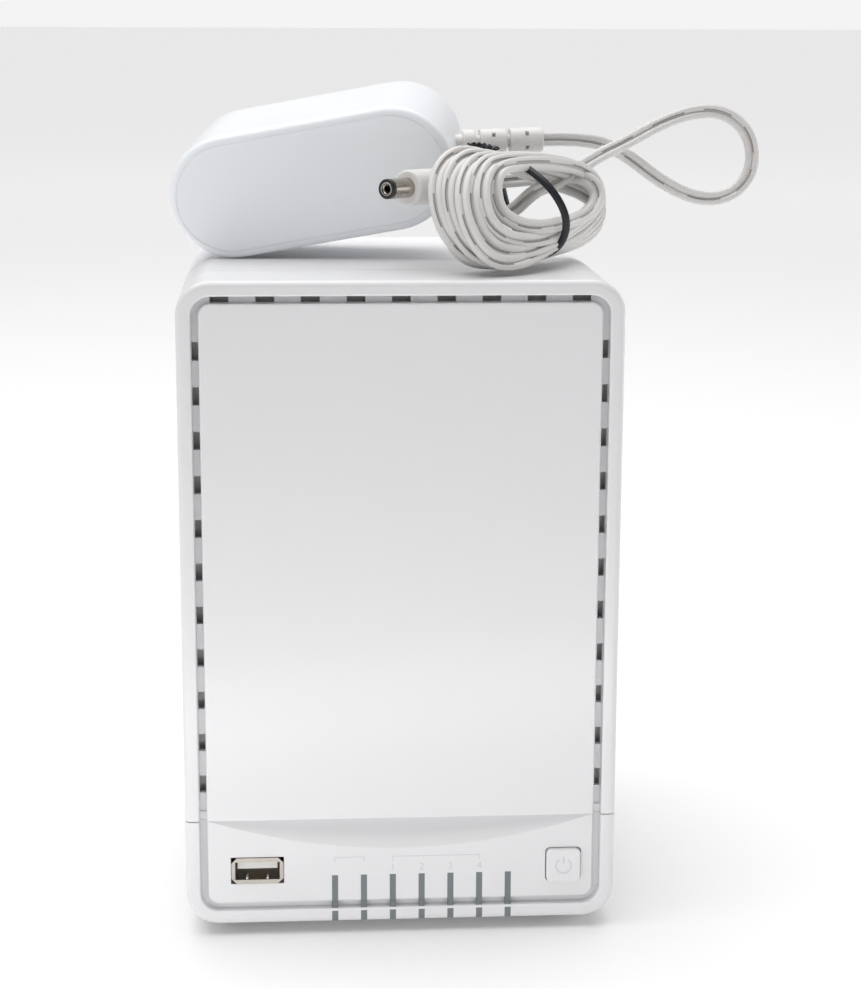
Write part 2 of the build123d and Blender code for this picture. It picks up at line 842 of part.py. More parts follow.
with BuildPart() as drive_sockets:
    with BuildSketch(Plane.XY.offset(board_top)):
        with Locations(*socket_places):
            Rectangle(socket_width, socket_back_y - socket_front_y)
    extrude(amount=drive_bottom - board_top)
    with BuildSketch(Plane.XY.offset(drive_bottom)):
        with Locations(*socket_places):
            Rectangle(
                drive_board_thickness + 2 * socket_slot_gap, board_tongue_width + 2 * socket_slot_gap
            )
    extrude(amount=-(board_tongue_length + socket_slot_gap), mode=Mode.SUBTRACT)

export(drive_sockets, "drive_sockets")

chip_height = 1.6
processor_place = (0, -10.0)
processor_size = 20.0
memory_places = [(-18.0, 2.0), (-18.0, 17.0)]
memory_size = (9.0, 12.0)
controller_places = [(18.0, -30.0), (17.0, 3.0)]
controller_size = 8.0

with BuildPart() as board_chips:
    with BuildSketch(Plane.XY.offset(board_top)):
        with Locations(processor_place):
            Rectangle(processor_size, processor_size)
        with Locations(*memory_places):
            Rectangle(*memory_size)
        with Locations(*controller_places):
            Rectangle(controller_size, controller_size)
    extrude(amount=chip_height)

export(board_chips, "board_chips")

sink_size = 28.0
sink_base = 2.0
sink_height = 9.0
sink_fin = 1.2
sink_fins = 7

with BuildPart() as heat_sink:
    with BuildSketch(Plane.XY.offset(board_top + chip_height)):
        with Locations(processor_place):
            Rectangle(sink_size, sink_size)
    extrude(amount=sink_base)
    with BuildSketch(Plane.XY.offset(board_top + chip_height + sink_base)):
        with Locations(processor_place):
            with GridLocations((sink_size - sink_fin) / (sink_fins - 1), 0, sink_fins, 1):
                Rectangle(sink_fin, sink_size)
    extrude(amount=sink_height - sink_base)

export(heat_sink, "heat_sink")

capacitor_radius = 3.15
capacitor_height = 9.0
capacitor_places = [(36.0, 8.0), (36.0, 16.0), (36.0, 24.0), (-36.0, 20.0)]

with BuildPart() as capacitors:
    with BuildSketch(Plane.XY.offset(board_top)):
        with Locations(*capacitor_places):
            Circle(capacitor_radius)
    extrude(amount=capacitor_height)
    fillet(capacitors.edges().group_by(Axis.Z)[-1], inner_round)

export(capacitors, "capacitors")

cell_radius = 10.0
cell_thickness = 3.2
cell_place = (10.0, 26.0)

with BuildPart() as backup_cell:
    with BuildSketch(Plane.XY.offset(board_top)):
        with Locations(cell_place):
            Circle(cell_radius)
    extrude(amount=cell_thickness)
    fillet(backup_cell.edges().group_by(Axis.Z)[-1], inner_round)

export(backup_cell, "backup_cell")

# Connectors at the rear
jack_face_y = back_y - 0.3
lan_hole = (12.0, 8.0)
lan_hole_depth = 14.0
lan_key = (5.6, 2.4)
lan_z = board_top + lan_size[1] / 2
contact_count = 8
contact_pitch = 1.27
contact_size = (0.45, 0.3, 10.0)

with BuildPart() as network_jack:
    with BuildSketch(facing_front(jack_face_y)):
        with Locations((lan_x, lan_z)):
            Rectangle(lan_size[0], lan_size[1])
    extrude(amount=lan_size[2])
    with BuildSketch(facing_front(jack_face_y)):
        with Locations((lan_x, lan_z + lan_key[1] / 2)):
            Rectangle(*lan_hole)
        with Locations((lan_x, lan_z - (lan_hole[1] - lan_key[1]) / 2)):
            Rectangle(lan_key[0], 2 * lan_key[1])
    extrude(amount=lan_hole_depth, mode=Mode.SUBTRACT)

export(network_jack, "network_jack")

lan_ceiling_z = lan_z + (lan_key[1] + lan_hole[1]) / 2

with BuildPart() as network_contacts:
    with BuildSketch(facing_front(jack_face_y - lan_hole_depth)):
        with Locations((lan_x, lan_ceiling_z - contact_size[1] / 2)):
            with GridLocations(contact_pitch, 0, contact_count, 1):
                Rectangle(contact_size[0], contact_size[1])
    extrude(amount=-contact_size[2])

export(network_contacts, "network_contacts")

usb_opening = (12.5, 5.1)
usb_port_depth = 11.0
usb_tongue_width = 11.2
usb_tongue_length = 9.0
usb_port_zs = [board_top + rear_usb_size[1] / 2 + offset for offset in (-3.8, 3.8)]
usb_port_places = [(rear_usb_x, z) for z in usb_port_zs]
rear_tongue_rise = (usb_opening[1] - usb_tongue_thickness) / 2 - 0.6
usb_tongue_places = [(rear_usb_x, z + rear_tongue_rise) for z in usb_port_zs]

with BuildPart() as rear_usb_ports:
    with BuildSketch(facing_front(jack_face_y)):
        with Locations((rear_usb_x, board_top + rear_usb_size[1] / 2)):
            Rectangle(rear_usb_size[0], rear_usb_size[1])
    extrude(amount=rear_usb_size[2])
    with BuildSketch(facing_front(jack_face_y)):
        with Locations(*usb_port_places):
            Rectangle(*usb_opening)
    extrude(amount=usb_port_depth, mode=Mode.SUBTRACT)

export(rear_usb_ports, "rear_usb_ports")

with BuildPart() as rear_usb_tongues:
    with BuildSketch(facing_front(jack_face_y - usb_port_depth)):
        with Locations(*usb_tongue_places):
            Rectangle(usb_tongue_width, usb_tongue_thickness)
    extrude(amount=-usb_tongue_length)

export(rear_usb_tongues, "rear_usb_tongues")

dc_z = board_top + dc_size[1] - dc_size[0] / 2
dc_bore_depth = 10.5
dc_pin_length = 9.5

with BuildPart() as dc_jack:
    with BuildSketch(facing_front(jack_face_y)):
        with Locations((dc_x, board_top + dc_size[1] / 2)):
            Rectangle(dc_size[0], dc_size[1])
    extrude(amount=dc_size[2])
    with BuildSketch(facing_front(jack_face_y)):
        with Locations((dc_x, dc_z)):
            Circle(dc_hole_radius)
    extrude(amount=dc_bore_depth, mode=Mode.SUBTRACT)

export(dc_jack, "dc_jack")

with BuildPart() as dc_jack_pin:
    with BuildSketch(facing_front(jack_face_y - dc_bore_depth)):
        with Locations((dc_x, dc_z)):
            Circle(dc_pin_radius)
    extrude(amount=-dc_pin_length)
    fillet(dc_jack_pin.faces().sort_by(Axis.Y)[-1].edges(), 0.4)

export(dc_jack_pin, "dc_jack_pin")

# Reset switch, pressed with a pin through the small hole in the rear wall
reset_setback = 5.0
reset_face_y = back_y - reset_setback
reset_body_depth = 4.0
reset_engagement = 1.2
reset_bore_depth = reset_engagement + 2 * reset_travel
reset_tip_y = back_y - 1.0

with BuildPart() as reset_switch:
    with BuildSketch(facing_front(reset_face_y)):
        with Locations((reset_x, reset_z)):
            Rectangle(switch_size, switch_size)
    extrude(amount=reset_body_depth)
    with BuildSketch(facing_front(reset_face_y)):
        with Locations((reset_x, reset_z)):
            Circle(reset_plunger_radius + plunger_gap)
    extrude(amount=reset_bore_depth, mode=Mode.SUBTRACT)

export(reset_switch, "reset_switch")

with BuildPart() as reset_plunger:
    with BuildSketch(facing_front(reset_face_y - reset_engagement)):
        with Locations((reset_x, reset_z)):
            Circle(reset_plunger_radius)
    extrude(amount=reset_face_y - reset_engagement - reset_tip_y)
    fillet(reset_plunger.faces().sort_by(Axis.Y)[-1].edges(), 0.3)

export(reset_plunger, "reset_plunger")

# Cooling fan behind the grille
fan_front_y = rear_inner_y - fan_thickness
fan_corner = 3.0
base_disc = 2.5
strut_width = 3.0
strut_angles = (90, 210, 330)
hub_back_y = rear_inner_y - base_disc - fan_tip_gap
hub_front_y = fan_front_y + 1.0
bearing_depth = 2.0
fan_screw_radius = 1.5
fan_screw_length = 12.0
blade_chord = 11.0
blade_sheet = 1.2
blade_angle = 38
blade_tip_radius = fan_bore_radius - fan_tip_gap

with BuildPart() as fan_frame:
    with BuildSketch(facing_front(fan_front_y)):
        with Locations((0, fan_z)):
            RectangleRounded(fan_size, fan_size, fan_corner)
            Circle(fan_bore_radius, mode=Mode.SUBTRACT)
        with Locations(*fan_screw_places):
            Circle(fan_screw_radius, mode=Mode.SUBTRACT)
    extrude(amount=-fan_thickness)
    with BuildSketch(facing_front(rear_inner_y)):
        with Locations((0, fan_z)):
            Circle(fan_hub_radius)
            for angle in strut_angles:
                with Locations(Rotation(0, 0, angle)):
                    Rectangle(fan_bore_radius + 0.5, strut_width, align=(Align.MIN, Align.CENTER))
    extrude(amount=base_disc)
    with BuildSketch(facing_front(rear_inner_y - base_disc)):
        with Locations((0, fan_z)):
            Circle(fan_shaft_radius + shaft_gap)
    extrude(amount=-(bearing_depth + shaft_gap), mode=Mode.SUBTRACT)

export(fan_frame, "fan_frame")

fan_middle_y = (hub_front_y + hub_back_y) / 2
blade_span = blade_tip_radius - fan_hub_radius + 2.0
blade_middle_radius = blade_tip_radius - blade_span / 2 + 1.0
flat_blade = Box(blade_span, blade_chord, blade_sheet)
blades = [
    Rotation(0, 0, 360 / fan_blades * number)
    * Pos(blade_middle_radius, 0, 0)
    * Rotation(blade_angle, 0, 0)
    * flat_blade
    for number in range(fan_blades)
]
swept_ring = Cylinder(blade_tip_radius, hub_back_y - hub_front_y)
fan_place = Plane(origin=(0, fan_middle_y, fan_z), x_dir=(1, 0, 0), z_dir=(0, -1, 0))

with BuildPart() as fan_rotor:
    with BuildSketch(facing_front(hub_front_y)):
        with Locations((0, fan_z)):
            Circle(fan_hub_radius)
    extrude(amount=hub_front_y - hub_back_y)
    fillet(fan_rotor.faces().sort_by(Axis.Y)[0].edges(), 1.0)
    add([fan_place.location * (blade & swept_ring) for blade in blades])
    with BuildSketch(facing_front(hub_back_y)):
        with Locations((0, fan_z)):
            Circle(fan_shaft_radius)
    extrude(amount=-(fan_tip_gap + bearing_depth))

export(fan_rotor, "fan_rotor")

with BuildPart() as fan_screws:
    with BuildSketch(facing_front(back_y)):
        with Locations(*fan_screw_places):
            Circle(countersink_radius - screw_gap)
    extrude(amount=countersink_depth)
    with BuildSketch(facing_front(back_y - countersink_depth)):
        with Locations(*fan_screw_places):
            Circle(fan_screw_radius)
    extrude(amount=fan_screw_length)

export(fan_screws, "fan_screws")

# Fan lead down to its header on the main board
header_place = (-8.0, 34.0)
fan_header_size = (7.5, 5.0, 6.0)
lead_radius = 0.9
header_top = board_top + fan_header_size[2]
fan_underside = fan_z - fan_size / 2
lead_y = fan_front_y + 4.2
lead_route = [
    (header_place[0], lead_y, fan_underside),
    (header_place[0], lead_y, fan_underside - 14.0),
    (header_place[0], header_place[1] + 10.0, 54.0),
    (header_place[0], header_place[1], header_top + 16.0),
    (header_place[0], header_place[1], header_top),
]

with BuildPart() as fan_header:
    with BuildSketch(Plane.XY.offset(board_top)):
        with Locations(header_place):
            Rectangle(fan_header_size[0], fan_header_size[1])
    extrude(amount=fan_header_size[2])

export(fan_header, "fan_header")


def corner_radii(points):
    """The largest comfortable bend at each corner of a route."""
    radii = []
    for before, corner, after in zip(points, points[1:], points[2:]):
        incoming = Vector(*corner) - Vector(*before)
        outgoing = Vector(*after) - Vector(*corner)
        half_turn = math.radians(incoming.get_angle(outgoing) / 2)
        radii.append(0.45 * min(incoming.length, outgoing.length) / math.tan(half_turn))
    return radii


def tube(points, radius, name):
    """A round tube along straight runs joined by tangent arcs."""
    radii = corner_radii(points)
    print(name, "bend radii", [round(value, 1) for value in radii])
    with BuildPart() as cord:
        with BuildLine() as route:
            FilletPolyline(*points, radius=radii)
        with BuildSketch(Plane(origin=route.wire() @ 0, z_dir=route.wire() % 0)) as section:
            Circle(radius)
        sweep(section.sketch, path=route.wire())
    print(name, "length", round(route.wire().length, 1), "volume share",
          round(cord.part.volume / (math.pi * radius**2 * route.wire().length), 3))
    save(cord.part, name)


tube(lead_route, lead_radius, "fan_lead")

# Front board with the socket, lamps and power switch
front_board_back_y = front_board_y + front_board_thickness
front_screw_radius = 1.0
front_head_radius = 1.9
front_head_height = 1.4
front_screw_length = 7.0

with BuildPart() as front_board:
    with BuildSketch(facing_front(front_board_y)):
        with Locations((0, (front_board_bottom + front_board_top) / 2)):
            Rectangle(2 * (body_width / 2 - front_board_margin), front_board_top - front_board_bottom)
        with Locations(*front_boss_places):
            Circle(front_screw_radius + screw_gap, mode=Mode.SUBTRACT)
    extrude(amount=-front_board_thickness)

export(front_board, "front_board")

with BuildPart() as front_board_screws:
    with BuildSketch(facing_front(front_board_back_y)):
        with Locations(*front_boss_places):
            Circle(front_head_radius)
    extrude(amount=-front_head_height)
    with BuildSketch(facing_front(front_board_back_y)):
        with Locations(*front_boss_places):
            Circle(front_screw_radius)
    extrude(amount=front_screw_length)

export(front_board_screws, "front_board_screws")

usb_face_y = strip_face_y - 0.3
usb_base_thickness = 2.0
usb_corner = 0.8
usb_place = (usb_x, control_z)
usb_inner = (usb_shell_width - 2 * usb_shell_wall, usb_shell_height - 2 * usb_shell_wall)
front_tongue_z = control_z + usb_inner[1] / 2 - 0.5 - usb_tongue_thickness / 2
front_tongue_y = usb_face_y + 1.5

with BuildPart() as front_usb_shell:
    with BuildSketch(facing_front(usb_face_y)):
        with Locations(usb_place):
            RectangleRounded(usb_flange_width, usb_flange_height, usb_corner)
    extrude(amount=-usb_flange_thickness)
    with BuildSketch(facing_front(usb_face_y + usb_flange_thickness)):
        with Locations(usb_place):
            Rectangle(usb_shell_width, usb_shell_height)
    extrude(amount=-(front_board_y - usb_face_y - usb_flange_thickness))
    with BuildSketch(facing_front(usb_face_y)):
        with Locations(usb_place):
            Rectangle(*usb_inner)
    extrude(amount=-(front_board_y - usb_face_y), mode=Mode.SUBTRACT)

export(front_usb_shell, "front_usb_shell")

with BuildPart() as front_usb_tongue:
    with BuildSketch(facing_front(front_board_y)):
        with Locations(usb_place):
            Rectangle(*usb_inner)
    extrude(amount=usb_base_thickness)
    with BuildSketch(facing_front(front_board_y)):
        with Locations((usb_x, front_tongue_z)):
            Rectangle(usb_tongue_width, usb_tongue_thickness)
    extrude(amount=front_board_y - front_tongue_y)

export(front_usb_tongue, "front_usb_tongue")

usb_contact_size = (1.0, 0.2)
usb_contact_offsets = (-3.5, -1.0, 1.0, 3.5)
contact_z = front_tongue_z - usb_tongue_thickness / 2 - usb_contact_size[1] / 2

with BuildPart() as front_usb_contacts:
    with BuildSketch(facing_front(front_board_y - usb_base_thickness)):
        with Locations(*[(usb_x + offset, contact_z) for offset in usb_contact_offsets]):
            Rectangle(*usb_contact_size)
    extrude(amount=front_board_y - usb_base_thickness - front_tongue_y - 1.0)

export(front_usb_contacts, "front_usb_contacts")

led_z = led_top - guide_prong_height / 2
led_face_y = front_board_y - led_size[2]

with BuildPart() as status_leds:
    with BuildSketch(facing_front(front_board_y)):
        with Locations(*[(x, led_z) for x in led_places]):
            Rectangle(led_size[0], led_size[1])
    extrude(amount=led_size[2])

export(status_leds, "status_leds")

crossbar_y = -57.5
crossbar_thickness = 1.5

with BuildPart() as light_guide:
    for x in led_places:
        extrude(light_bar_section(x - led_width / 2), amount=led_width)
    with BuildSketch(facing_front(bar_back_y)):
        with Locations(*[(x, led_z) for x in led_places]):
            Rectangle(led_width, guide_prong_height)
    extrude(amount=-(led_face_y - led_air - bar_back_y))
    with BuildSketch(facing_front(crossbar_y)):
        with Locations(((led_places[0] + led_places[-1]) / 2, led_z)):
            Rectangle(led_places[-1] - led_places[0] + led_width, guide_prong_height)
    extrude(amount=-crossbar_thickness)

export(light_guide, "light_guide")

# Power button, its plunger and the switch behind it
power_switch_face_y = front_board_y - switch_depth
plunger_engagement = 0.9
switch_bore_depth = plunger_engagement + 2 * button_travel
plunger_front_y = power_switch_face_y - 2.5
button_place = (button_x, control_z)
flange_rest_gap = 0.1
flange_front_y = strip_back_y + flange_rest_gap
button_front_y = strip_face_y - button_proud
stem_radius = 2.0

with BuildPart() as power_switch:
    with BuildSketch(facing_front(power_switch_face_y)):
        with Locations(button_place):
            Rectangle(switch_size, switch_size)
    extrude(amount=-switch_depth)
    with BuildSketch(facing_front(power_switch_face_y)):
        with Locations(button_place):
            Circle(plunger_radius + plunger_gap)
    extrude(amount=-switch_bore_depth, mode=Mode.SUBTRACT)

export(power_switch, "power_switch")

with BuildPart() as power_plunger:
    with BuildSketch(facing_front(plunger_front_y)):
        with Locations(button_place):
            Circle(plunger_radius)
    extrude(amount=-(power_switch_face_y + plunger_engagement - plunger_front_y))

export(power_plunger, "power_plunger")

with BuildPart() as power_button:
    with BuildSketch(facing_front(button_front_y)):
        with Locations(button_place):
            RectangleRounded(button_size, button_size, button_corner)
    extrude(amount=button_front_y - flange_front_y)
    fillet(power_button.faces().sort_by(Axis.Y)[0].edges(), 0.5)
    with BuildSketch(facing_front(flange_front_y)):
        with Locations(button_place):
            Rectangle(button_size + 2 * button_flange, button_size + 2 * button_flange)
    extrude(amount=-flange_thickness)
    with BuildSketch(facing_front(flange_front_y + flange_thickness)):
        with Locations(button_place):
            Circle(stem_radius)
    extrude(amount=-(plunger_front_y - flange_front_y - flange_thickness))

export(power_button, "power_button")

# Flat ribbon cable between the front board and the main board
ribbon_header_width = 16.0
ribbon_header_height = 6.0
ribbon_header_depth = 2.5
ribbon_width = 12.0
ribbon_thickness = 0.3
main_header_height = 3.2
main_header_depth = 4.0
front_header_z = 20.0
front_header_back_y = front_board_back_y + ribbon_header_depth
main_header_y = board_front + 0.5
main_header_z = board_top + main_header_height / 2
ribbon_bend = 1.1

with BuildPart() as ribbon_headers:
    with BuildSketch(facing_front(front_board_back_y)):
        with Locations((0, front_header_z)):
            Rectangle(ribbon_header_width, ribbon_header_height)
    extrude(amount=-ribbon_header_depth)
    with BuildSketch(facing_front(main_header_y)):
        with Locations((0, main_header_z)):
            Rectangle(ribbon_header_width, main_header_height)
    extrude(amount=-main_header_depth)

export(ribbon_headers, "ribbon_headers")

with BuildPart() as front_ribbon:
    with BuildLine(Plane.YZ) as ribbon_route:
        FilletPolyline(
            (front_header_back_y, front_header_z),
            ((front_header_back_y + main_header_y) / 2, front_header_z),
            ((front_header_back_y + main_header_y) / 2, main_header_z),
            (main_header_y, main_header_z),
            radius=ribbon_bend,
        )
    with BuildSketch(facing_front(front_header_back_y)) as ribbon_section:
        with Locations((0, front_header_z)):
            Rectangle(ribbon_width, ribbon_thickness)
    sweep(ribbon_section.sketch, path=ribbon_route.wire())

export(front_ribbon, "front_ribbon")

# Wall power adapter, lying tilted on the recorder with its lid towards the viewer
yaw = math.radians(adapter_yaw)
pitch = math.radians(adapter_pitch)
roll = math.radians(adapter_roll)
adapter_back = Vector(
    math.sin(yaw) * math.cos(pitch), math.cos(yaw) * math.cos(pitch), math.sin(pitch)
)
level_right = Vector(math.cos(yaw), -math.sin(yaw), 0)
level_up = level_right.cross(adapter_back)
adapter_right = level_right * math.cos(roll) + level_up * math.sin(roll)
adapter_plane = Plane(
    origin=adapter_face_centre, x_dir=adapter_right, z_dir=adapter_back * -1
)


def adapter_at(depth):
    """The adapter's cross plane at a depth behind its lid."""
    return adapter_plane.offset(-depth)


lid_length = adapter_length - 2 * adapter_lid_margin
lid_height = adapter_height - 2 * adapter_lid_margin
lid_seat = 1.2
cavity_back = adapter_thickness - adapter_wall
boss_height = cavity_back - adapter_board_depth
board_front_depth = adapter_board_depth - adapter_board_size[2]
board_boss_radius = 2.6
board_pin_radius = 1.0
pin_head_depth = 0.8
pin_gap = 0.1
pin_places = [(-adapter_pin_x, 0), (adapter_pin_x, 0)]
blade_places = [(blade_x - blade_spacing / 2, 0), (blade_x + blade_spacing / 2, 0)]
end_plane = Plane(
    origin=adapter_plane.from_local_coords((0, 0, -adapter_thickness / 2)), z_dir=adapter_right
)
relief_hole_start = adapter_length / 2 - adapter_wall - 2.2

with BuildPart() as adapter_case:
    with BuildSketch(adapter_at(0)):
        SlotOverall(adapter_length, adapter_height)
    extrude(amount=-adapter_thickness)
    front_edges = adapter_case.faces().sort_by(Axis.Y)[0].edges()
    fillet(front_edges, adapter_edge)
    rear_edges = adapter_case.faces().sort_by(Axis.Y)[-1].edges()
    fillet(rear_edges, adapter_rear_edge)
    with BuildSketch(adapter_at(0)):
        SlotOverall(lid_length, lid_height)
    extrude(amount=-adapter_lid_thickness, mode=Mode.SUBTRACT)
    with BuildSketch(adapter_at(adapter_lid_thickness)):
        SlotOverall(lid_length - 2 * lid_seat, lid_height - 2 * lid_seat)
    extrude(amount=-(cavity_back - adapter_lid_thickness), mode=Mode.SUBTRACT)
    with BuildSketch(adapter_at(cavity_back)):
        with Locations(*pin_places):
            Circle(board_boss_radius)
    extrude(amount=boss_height)
    with BuildSketch(adapter_at(adapter_board_depth)):
        with Locations(*pin_places):
            Circle(board_pin_radius)
    extrude(amount=adapter_board_size[2] + pin_head_depth)
    with BuildSketch(adapter_at(cavity_back)):
        with Locations(*blade_places):
            Rectangle(blade_thickness, blade_width)
    extrude(amount=-adapter_wall, mode=Mode.SUBTRACT)
    with BuildSketch(end_plane.offset(relief_hole_start)):
        Circle(relief_neck_radius)
    extrude(amount=adapter_length, mode=Mode.SUBTRACT)

export(adapter_case, "adapter_case")

with BuildPart() as adapter_lid:
    with BuildSketch(adapter_at(0)):
        SlotOverall(lid_length - 2 * adapter_groove, lid_height - 2 * adapter_groove)
    extrude(amount=-adapter_lid_thickness)
    fillet(adapter_lid.faces().sort_by(Axis.Y)[0].edges(), 0.3)

export(adapter_lid, "adapter_lid")

with BuildPart() as mains_blades:
    with BuildSketch(adapter_at(adapter_thickness + blade_length)):
        with Locations(*blade_places):
            Rectangle(blade_thickness, blade_width)
    extrude(amount=blade_length + blade_root)
    fillet(mains_blades.faces().sort_by(Axis.Y)[-2:].edges(), 0.4)

export(mains_blades, "mains_blades")

with BuildPart() as adapter_board:
    with BuildSketch(adapter_at(adapter_board_depth)):
        Rectangle(adapter_board_size[0], adapter_board_size[1])
        with Locations(*pin_places):
            Circle(board_pin_radius + pin_gap, mode=Mode.SUBTRACT)
    extrude(amount=adapter_board_size[2])

export(adapter_board, "adapter_board")

transformer_place = (6.0, 0)
adapter_capacitor_places = [(-14.0, -5.6), (-14.0, 5.6)]

with BuildPart() as adapter_transformer:
    with BuildSketch(adapter_at(board_front_depth)):
        with Locations(transformer_place):
            Rectangle(transformer_size[0], transformer_size[1])
    extrude(amount=transformer_size[2])

export(adapter_transformer, "adapter_transformer")

with BuildPart() as adapter_capacitors:
    with BuildSketch(adapter_at(board_front_depth)):
        with Locations(*adapter_capacitor_places):
            Circle(adapter_capacitor_radius)
    extrude(amount=adapter_capacitor_length)

export(adapter_capacitors, "adapter_capacitors")

# Moulded strain relief: a neck through the case wall, then ribbed segments on a slim core
relief_root = adapter_plane.from_local_coords((adapter_length / 2, 0, -adapter_thickness / 2))
relief_way = Vector(*relief_direction).normalized()
relief_plane = Plane(origin=relief_root + relief_way * relief_step, z_dir=relief_way)
relief_end = relief_segments[-1][1]
neck_length = adapter_length / 2 + relief_step + 0.2 - relief_hole_start
anchor_radius = 4.2
anchor_thickness = 1.5

with BuildPart() as strain_relief:
    with BuildSketch(end_plane.offset(relief_hole_start)):
        Circle(relief_neck_radius)
    extrude(amount=neck_length)
    with BuildSketch(end_plane.offset(relief_hole_start)):
        Circle(anchor_radius)
    extrude(amount=-anchor_thickness)
    with BuildSketch(relief_plane):
        Circle(relief_core_radius)
    extrude(amount=relief_end)
    for start, end in relief_segments:
        with BuildSketch(relief_plane.offset(start)):
            Circle(relief_radius)
        extrude(amount=end - start)

export(strain_relief, "strain_relief")

# Wound hank of output cord
near = Vector(*hank_near)
far = Vector(*hank_far)
hank_length = (far - near).length
hank_axis = (far - near).normalized()
hank_side = hank_axis.cross(Vector(0, 0, 1)).normalized()
hank_up = hank_side.cross(hank_axis)
half_near, half_waist, half_far = half_widths
wave_one = ((half_near + half_far) / 2 / math.sin(math.pi / 4) + half_waist) / 2
wave_two = (half_near - half_far) / 2
wave_three = wave_one - half_waist


def between(pair, share):
    return pair[0] + (pair[1] - pair[0]) * share


def cross_directions(share, climb):
    """Unit vectors along the row of turns and across it, at a share of the hank's length."""
    lean = math.radians(between(hank_lean, share))
    roll = math.radians(between(hank_roll, share) - hank_fan * climb * (1 - share))
    along_row = hank_side * -math.cos(lean) - hank_up * math.sin(lean)
    across_row = hank_up * math.cos(roll) - hank_side * math.sin(roll)
    return along_row, across_row


def hank_point(turn):
    """Centre of the cord after a number of turns; each climb lies along the return run."""
    whole = math.floor(turn)
    angle = 2 * math.pi * (turn - whole)
    climbed = max(0.0, angle / math.pi - 1)
    climb = whole + climbed - math.sin(2 * math.pi * climbed) / (2 * math.pi) - hank_middle
    share = (1 - (1 - end_roundness) * math.cos(angle) - end_roundness * math.cos(3 * angle)) / 2
    half = wave_one * math.sin(angle) + wave_two * math.sin(2 * angle)
    half = (half + wave_three * math.sin(3 * angle)) * (1 - hank_taper * abs(climb) * (1 - share))
    if share < 0.5:
        pitch_here = between(turn_pitches[:2], 2 * share)
    else:
        pitch_here = between(turn_pitches[1:], 2 * share - 1)
    along_row, across_row = cross_directions(share, climb)
    row_place = along_row * (climb * pitch_here)
    return near + hank_axis * (share * hank_length) + across_row * half + row_place


def hank_tangent(turn):
    return (hank_point(turn + 1e-4) - hank_point(turn - 1e-4)).normalized()


def arc_pair(start, start_way, end, end_way):
    """Joint and its tangent for two equal-handled arcs between two tangents."""
    gap = end - start
    ways = start_way + end_way
    spread = 2 * (1 - start_way.dot(end_way))
    reach = gap.dot(ways)
    handle = (math.sqrt(reach**2 + spread * gap.dot(gap)) - reach) / spread
    first = start + start_way * handle
    second = end - end_way * handle
    return (first + second) / 2, (second - first).normalized()


def arc_radius(start, way, end):
    chord = end - start
    sideways = chord - way * chord.dot(way)
    return chord.dot(chord) / (2 * sideways.length)


arc_count = round((hank_end - hank_start) * arcs_per_turn)
stations = [hank_start + (hank_end - hank_start) * index / arc_count for index in range(arc_count + 1)]
hank_arcs = []
for before, after in zip(stations, stations[1:]):
    arc_start = hank_point(before)
    arc_end = hank_point(after)
    start_way = hank_tangent(before)
    joint, joint_way = arc_pair(arc_start, start_way, arc_end, hank_tangent(after))
    hank_arcs.append((arc_start, start_way, joint))
    hank_arcs.append((joint, joint_way, arc_end))

cord_radius = cord_diameter / 2
with BuildPart() as cord_hank:
    with BuildLine() as hank_route:
        for arc_start, way, arc_end in hank_arcs:
            TangentArc(arc_start, arc_end, tangent=way)
    hank_wire = hank_route.wire()
    with BuildSketch(Plane(origin=hank_point(hank_start), z_dir=hank_tangent(hank_start))) as section:
        Circle(cord_radius)
    sweep(section.sketch, path=hank_wire)

export(cord_hank, "cord_hank")

sample_step = 0.5
sample_count = int(hank_wire.length / sample_step)
samples = [hank_wire @ (index / sample_count) for index in range(sample_count + 1)]
skipped = round(8 * cord_diameter / sample_step)
least_gap = min(
    (samples[index] - other).length
    for index in range(0, sample_count, 2)
    for other in samples[index + skipped::2]
) - cord_diameter
least_bend = min(arc_radius(*arc) for arc in hank_arcs)
hank_share = cord_hank.part.volume / (math.pi * cord_radius**2 * hank_wire.length)
print("hank length", round(hank_wire.length, 1), "least gap to itself", round(least_gap, 2))
print("hank least bend radius", round(least_bend, 2), "volume share", round(hank_share, 3))

# Loose loop from the strain relief to the hank
loop_start = relief_plane.from_local_coords((0, 0, relief_end))
hank_entry = hank_point(hank_start)
hank_entry_way = hank_tangent(hank_start)
straight_lead = 12.0
loop_route = [
    loop_start,
    (loop_start + relief_way * straight_lead),
    (69.0, 11.0, 216.0),
    (82.0, 14.0, 206.0),
    (94.0, 17.4, 200.4),
    (104.0, 20.0, 200.8),
    (111.1, 21.5, 206.3),
    (112.6, 22.0, 214.7),
    (108.4, 21.3, 222.6),
    (100.6, 19.6, 227.0),
    (91.0, 17.0, 226.6),
    (80.5, 13.0, 223.0),
    (70.0, 6.0, 218.0),
    (60.5, -4.5, 216.3),
    (hank_entry - hank_entry_way * straight_lead),
    hank_entry,
]
tube(loop_route, cord_radius, "cord_loop")

# Plug on the end of the cord, and the tail that leads to it under the hank
plug_way = Vector(*plug_direction).normalized()
plug_plane = Plane(origin=plug_tip, z_dir=plug_way)
plug_end = barrel_length + plug_body_length + plug_relief_length
tail_end = plug_plane.from_local_coords((0, 0, plug_end))
hank_exit = hank_point(hank_end)
tail_route = [
    hank_exit,
    (hank_exit + hank_tangent(hank_end) * 9.0),
    (31.5, -9.0, 189.0),
    (tail_end + plug_way * 18.0),
    tail_end,
]
tube(tail_route, cord_radius, "cord_tail")

with BuildPart() as plug_body:
    with BuildSketch(plug_plane.offset(barrel_length)):
        Circle(plug_body_radius)
    extrude(amount=plug_body_length)
    fillet(plug_body.edges(), 0.8)
    with BuildSketch(plug_plane.offset(barrel_length + plug_body_length)):
        Circle(plug_relief_radius)
    extrude(amount=plug_relief_length)

export(plug_body, "plug_body")

